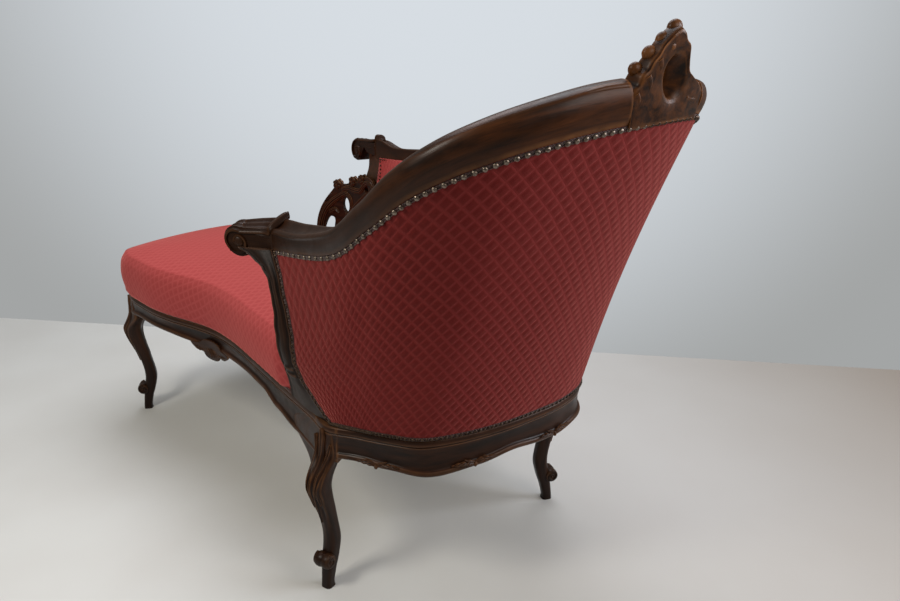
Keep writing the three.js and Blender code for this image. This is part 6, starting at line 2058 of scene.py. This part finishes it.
    def edge_braid(self) -> bpy.types.Object:
        """Builds the thin dark braid where the seat's cover meets the rail."""
        side, covered = self.sides()
        s = np.linspace(0, self.plan.length, self.columns + 1)[:-1]
        front_end = float(self.back.rows[0][0]) + FRONT_POST_SHARES[0][3] * self.back.post_foot
        back_end = float(self.back.rows[-1][0]) - BACK_POST_SHARES[0][3] * self.back.post_foot
        length = np.mod(front_end - back_end - self.bracket_reach, self.plan.length) - 16
        run = back_end + self.bracket_reach + 8 + np.linspace(0, length, int(length / 1.6))
        base = self.plan.point(run, self.plan.rail_top + 1.2)
        out = self.plan.outward(run)
        a = np.linspace(0, 2 * math.pi, 13)[:-1][None, :]
        gone = (run - run[0])[:, None]
        r = 2.4 * (1 + 0.14 * np.sin(2 * math.pi * gone / 5 + a))
        spots = (base[:, None] + out[:, None] * (r * np.cos(a) * 0.8 - 0.6)[..., None]
                 + UP * (r * np.sin(a) + 2.2)[..., None])
        draft = Draft()
        draft.rings(spots)
        braid = draft.make("seat_edge_braid", self.finishes.braid, sharp=60)
        return braid

    def level_cloth(self, name: str, node: str, ring: np.ndarray, thickness: float,
                    finish: bpy.types.Material) -> bpy.types.Object:
        """Builds a level sheet of cloth inside a ring.

        Args:
            name: the piece's name.
            node: the CAD node that it stands for.
            ring: points of its edge.
            thickness: thickness of the cloth.
            finish: its material.

        Returns:
            The sheet.
        """
        heart = self.plan.seam(ring)
        heart[:, 2] = ring[:, 2]
        t = np.linspace(0, 1, 9)[:, None, None]
        rows = ring[None] + (heart - ring)[None] * t
        rows[..., 2] -= 1.5 * (1 - (1 - t[..., 0]) ** 2)
        rows = np.concatenate([rows, (rows - UP * thickness)[::-1], rows[:1]])
        uv = np.concatenate([rows, rows[:, :1]], axis=1)[..., :2] * MM
        draft = Draft()
        draft.rings(rows, caps=False, uv=uv)
        sheet = draft.make(name, finish, sharp=60, weld=0.02)
        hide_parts(node)
        return sheet

    def webbing(self) -> bpy.types.Object:
        """Builds the woven straps that carry the springs."""
        plan = self.plan
        top = plan.rail_top - 38 - 0.3
        s = np.linspace(0, plan.length, 1400)
        edge = plan.point(s) - plan.outward(s) * 17
        draft, area = Draft(), 0.0
        columns = [plan.x(a) for a in WEBBING_COLUMN_SHARES]
        rows = [a * plan.leg_depth for a in WEBBING_ROW_SHARES]
        for k, others, places in ((0, rows, columns), (1, columns, rows)):
            for i, place in enumerate(places):
                near = edge[np.abs(edge[:, k] - place) < 30][:, 1 - k]
                middle = np.mean([near.min(), near.max()])
                low, high = near[near < middle].max() + 6, near[near > middle].min() - 6
                run = np.linspace(low, high, 90)
                lift = sum(math.cos(math.pi * (i + j + k)) * np.exp(-((run - o) / 30) ** 2)
                           for j, o in enumerate(others)) * 1.4
                line = np.zeros((90, 3))
                line[:, k], line[:, 1 - k], line[:, 2] = place, run, top - 3 + lift
                across = np.zeros(3)
                across[k] = 25
                w = np.array([-1, -0.5, 0, 0.5, 1])[:, None]
                upper = line[:, None] + across * w
                draft.rings(np.concatenate([upper, upper[:, ::-1] - UP * 1.4], axis=1))
                area += 50 * (high - low)
        straps = draft.make("webbing_straps", self.finishes.linen, sharp=60)
        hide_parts("seat_webbing")
        return straps

    def springs(self) -> bpy.types.Object:
        """Builds the waisted coil springs."""
        low = self.plan.rail_top - 38 + 2.5
        high = self.plan.rail_top + self.recess - 0.3 - 2 - 2.5
        draft = Draft()
        t = np.linspace(0, 1, 120)[:, None]
        a = np.linspace(0, 2 * math.pi, 9)[:-1][None, :]
        waist = 42 * (1 - 0.3 * np.sin(math.pi * t))
        turn = 2 * math.pi * 3 * t
        nodes = [f"seat_spring_{i}" for i in range(1, 14)]
        for node in nodes:
            lowest, highest = (np.array(c) / MM - Draft.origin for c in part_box(node))
            x, y = ((lowest + highest) / 2)[:2]
            radial = waist + 1.8 * np.cos(a)
            draft.rings(np.stack([x + radial * np.cos(turn), y + radial * np.sin(turn),
                                  low + (high - low) * t + 1.8 * np.sin(a)], axis=-1))
        springs = draft.make("coil_springs", self.finishes.spring, sharp=60)
        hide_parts(*nodes)
        return springs

    def build(self) -> list[bpy.types.Object]:
        """Builds the seat from the webbing up."""
        side, covered = self.sides()
        tucked = self.lip + (self.tuck - self.lip) * covered
        deep = np.maximum(tucked + self.wall, side + self.wall / 2) + 7
        s = np.linspace(0, self.plan.length, self.columns + 1)[:-1]
        dust = self.plan.point(s, self.plan.rail_top - 44) - self.plan.outward(s) * 27
        return [
            self.cushion(), self.edge_braid(), self.webbing(), self.springs(),
            self.level_cloth("seat_hessian_cloth", "seat_hessian", self.ring(deep, self.recess - 0.6), 2,
                             self.finishes.hessian),
            self.level_cloth("dust_cloth_tacked", "dust_cloth", dust, 1.2,
                             self.finishes.linen)]


@dataclass
class Studio:
    """Pale floor, soft lamps and the camera."""

    plan: SeatPlan
    eye: tuple = (1129, -471, 985)
    heading: tuple = (-0.8348, 0.5506)
    pitch: float = 19.3
    lens: float = 31.2
    floor_colour: str = "#d1d5d4"
    wall_left: float = 3.14  # how far ahead the wall stands 5 m to the left, in metres
    wall_right: float = 1.62
    wall_colour: str = "#d7dde3"

    def camera(self) -> None:
        """Places the camera where the photograph was taken from."""
        lens = bpy.data.cameras.new("camera")
        lens.lens, lens.sensor_width = self.lens, 36
        lens.clip_end = 60
        eye = bpy.data.objects.new("camera", lens)
        bpy.context.scene.collection.objects.link(eye)
        eye.location = (np.array(self.eye, float) + Draft.origin) * MM
        p = math.radians(self.pitch)
        eye.rotation_euler = Vector((self.heading[0] * math.cos(p), self.heading[1] * math.cos(p),
                                     -math.sin(p))).to_track_quat("-Z", "Y").to_euler()
        bpy.context.scene.camera = eye

    def lamp(self, name: str, spot: tuple, aim: tuple, size: tuple, power: float, hue: str) -> None:
        """Adds a soft rectangular lamp.

        Args:
            name: the lamp's name.
            spot: where it stands, in metres.
            aim: where it points.
            size: its width and height.
            power: its power in watts.
            hue: its colour.
        """
        data = bpy.data.lights.new(name, "AREA")
        data.shape, data.size, data.size_y = "RECTANGLE", *size
        data.energy, data.color = power, linear(hue)[:3]
        lamp = bpy.data.objects.new(name, data)
        bpy.context.scene.collection.objects.link(lamp)
        lamp.location = spot
        lamp.rotation_euler = (Vector(aim) - Vector(spot)).to_track_quat("-Z", "Y").to_euler()

    def beside_eye(self, right: float, ahead: float, height: float) -> tuple:
        """Place beside the camera, in metres."""
        eye = (np.array(self.eye, float) + Draft.origin) * MM
        x, y = self.heading
        return (eye[0] + x * ahead + y * right, eye[1] + y * ahead - x * right, height)

    def floor(self) -> None:
        """Lays the floor; its far edge is the line of the wall."""
        eye = (np.array(self.eye, float) + Draft.origin) * MM
        ahead = np.array([*self.heading, 0])
        right = np.array([self.heading[1], -self.heading[0], 0])
        near = eye * (1, 1, 0)
        corners = [near - ahead * 4 - right * 5, near - ahead * 4 + right * 5,
                   near + right * 5 + ahead * self.wall_right, near - right * 5 + ahead * self.wall_left]
        mesh = bpy.data.meshes.new("floor")
        mesh.from_pydata(corners, [], [(0, 1, 2, 3)])
        material, tree = blank_material("floor_paint", self.floor_colour)
        spot = add_node(tree, "ShaderNodeTexCoord").outputs["Object"]
        mottle = add_node(tree, "ShaderNodeTexNoise", {"Vector": spot, "Scale": 2.2, "Detail": 4.0})
        share = add_node(tree, "ShaderNodeMapRange", {
            "Value": mottle.outputs["Fac"], "From Min": 0.35, "From Max": 0.7, "To Max": 0.5})
        colour = add_node(tree, "ShaderNodeMix", {
            0: share.outputs[0], 6: linear(self.floor_colour), 7: linear("#c2c3c0")}, data_type="RGBA")
        # The floor is painted darker towards the right: painted shade.
        away = add_node(tree, "ShaderNodeVectorMath", {
            0: spot, 1: (self.heading[1], -self.heading[0], 0)}, operation="DOT_PRODUCT")
        far_side = add_node(tree, "ShaderNodeMapRange", {
            "Value": away.outputs["Value"], "From Min": 0.15, "From Max": 1.6})
        shaded = add_node(tree, "ShaderNodeMix", {
            0: far_side.outputs[0], 6: colour.outputs[2], 7: linear("#8e867c")}, data_type="RGBA")
        shader = add_node(tree, "ShaderNodeBsdfPrincipled", {
            "Base Color": shaded.outputs[2], "Roughness": 0.6})
        add_node(tree, "ShaderNodeOutputMaterial", {"Surface": shader.outputs[0]})
        mesh.materials.append(material)
        floor = bpy.data.objects.new("floor", mesh)
        bpy.context.scene.collection.objects.link(floor)

    def wall(self, tree: bpy.types.NodeTree) -> bpy.types.NodeSocket:
        """Wall colour, painted darker away from the middle and towards the floor: painted shade."""
        toward = add_node(tree, "ShaderNodeTexCoord").outputs["Generated"]
        ahead = Vector((self.heading[0], self.heading[1], 0.12)).normalized()
        near = add_node(tree, "ShaderNodeVectorMath", {0: toward, 1: tuple(ahead)},
                        operation="DOT_PRODUCT")
        share = add_node(tree, "ShaderNodeMapRange", {
            "Value": near.outputs["Value"], "From Min": 0.79, "From Max": 1.0},
            interpolation_type="SMOOTHSTEP")
        return add_node(tree, "ShaderNodeMix", {
            0: share.outputs[0], 6: linear("#a3a5a5"), 7: linear(self.wall_colour)},
            data_type="RGBA").outputs[2]

    def world(self) -> None:
        """Gives soft light from all round and a pale wall to the eye."""
        world = bpy.data.worlds.new("room")
        bpy.context.scene.world = world
        world.use_nodes = True
        tree = world.node_tree
        tree.nodes.clear()
        path = add_node(tree, "ShaderNodeLightPath")
        lit = add_node(tree, "ShaderNodeBackground", {"Color": linear("#f2ebe2"), "Strength": 0.26})
        shown = add_node(tree, "ShaderNodeBackground", {
            "Color": self.wall(tree), "Strength": 1.0})
        mixed = add_node(tree, "ShaderNodeMixShader", {
            0: path.outputs["Is Camera Ray"], 1: lit.outputs[0], 2: shown.outputs[0]})
        add_node(tree, "ShaderNodeOutputWorld", {"Surface": mixed.outputs[0]})

    def build(self) -> None:
        """Sets the whole studio up."""
        self.camera()
        self.floor()
        self.world()
        self.lamp("soft_ceiling", (-0.6, 0.5, 2.7), (-0.2, 0, 0.4), (2.2, 1.6), 52, "#fbfaff")
        self.lamp("soft_window", (1.9, 2.4, 1.5), (0.3, 0.1, 0.6), (1.4, 1.2), 54, "#f4f6ff")
        self.lamp("side_lamp", self.beside_eye(-1.25, 0.5, 1.75), (0, 0, 0.3), (0.5, 0.5), 17, "#fff6ea")
        self.lamp("fill_lamp", self.beside_eye(1.2, 0.4, 1.4), (0.25, 0, 0.7), (0.7, 0.7), 9, "#fff4ee")
        settings = bpy.context.scene.view_settings
        settings.view_transform = "Standard"


def centre_on_footprint(plan: SeatPlan) -> None:
    """Moves the drawing's origin so that the legs stand on the record's own mounts."""
    mounts = {m["name"]: m for m in frame["record"]["mounts"]}
    foot = plan.point(np.array([plan.leg("back_head")]))[0]
    at = np.array(mounts["foot_back_head"]["pos_m"], float) / MM
    Draft.origin = np.array([at[0] - foot[0], at[1] - foot[1], 0])


def dress_inner_frame(finishes: Finishes) -> None:
    """Gives the beech rails, slats and blocks their own material."""
    for name, node in frame["nodes"].items():
        if name.startswith(("back_slat", "cross_rail", "corner_block")):
            for slot in node.material_slots:
                slot.material = finishes.beech


def main() -> None:
    """Builds the couch and the studio round it."""
    logging.basicConfig(level=logging.INFO, format="%(message)s")
    plan = SeatPlan()
    centre_on_footprint(plan)
    back = TubBack(plan)
    Studio(plan).build()
    finishes = build_finishes()
    dress_inner_frame(finishes)
    made: list[bpy.types.Object] = []
    for part in (SeatRails(plan, finishes), Legs(plan, finishes), TopRail(back, finishes),
                 ArmPosts(back, finishes), RailCarving(plan, finishes),
                 BackUpholstery(back, finishes), SeatUpholstery(plan, back, finishes)):
        pieces = part.build()
        made += pieces
        for piece in pieces:
            log.info("%s: %s, %d faces", type(part).__name__, piece.name, len(piece.data.polygons))
    bracket = PiercedBracket(plan, back, finishes).build()
    log.info("PiercedBracket: %s, %d faces", bracket.name, len(bracket.data.polygons))


if __name__ == "__main__":
    main()
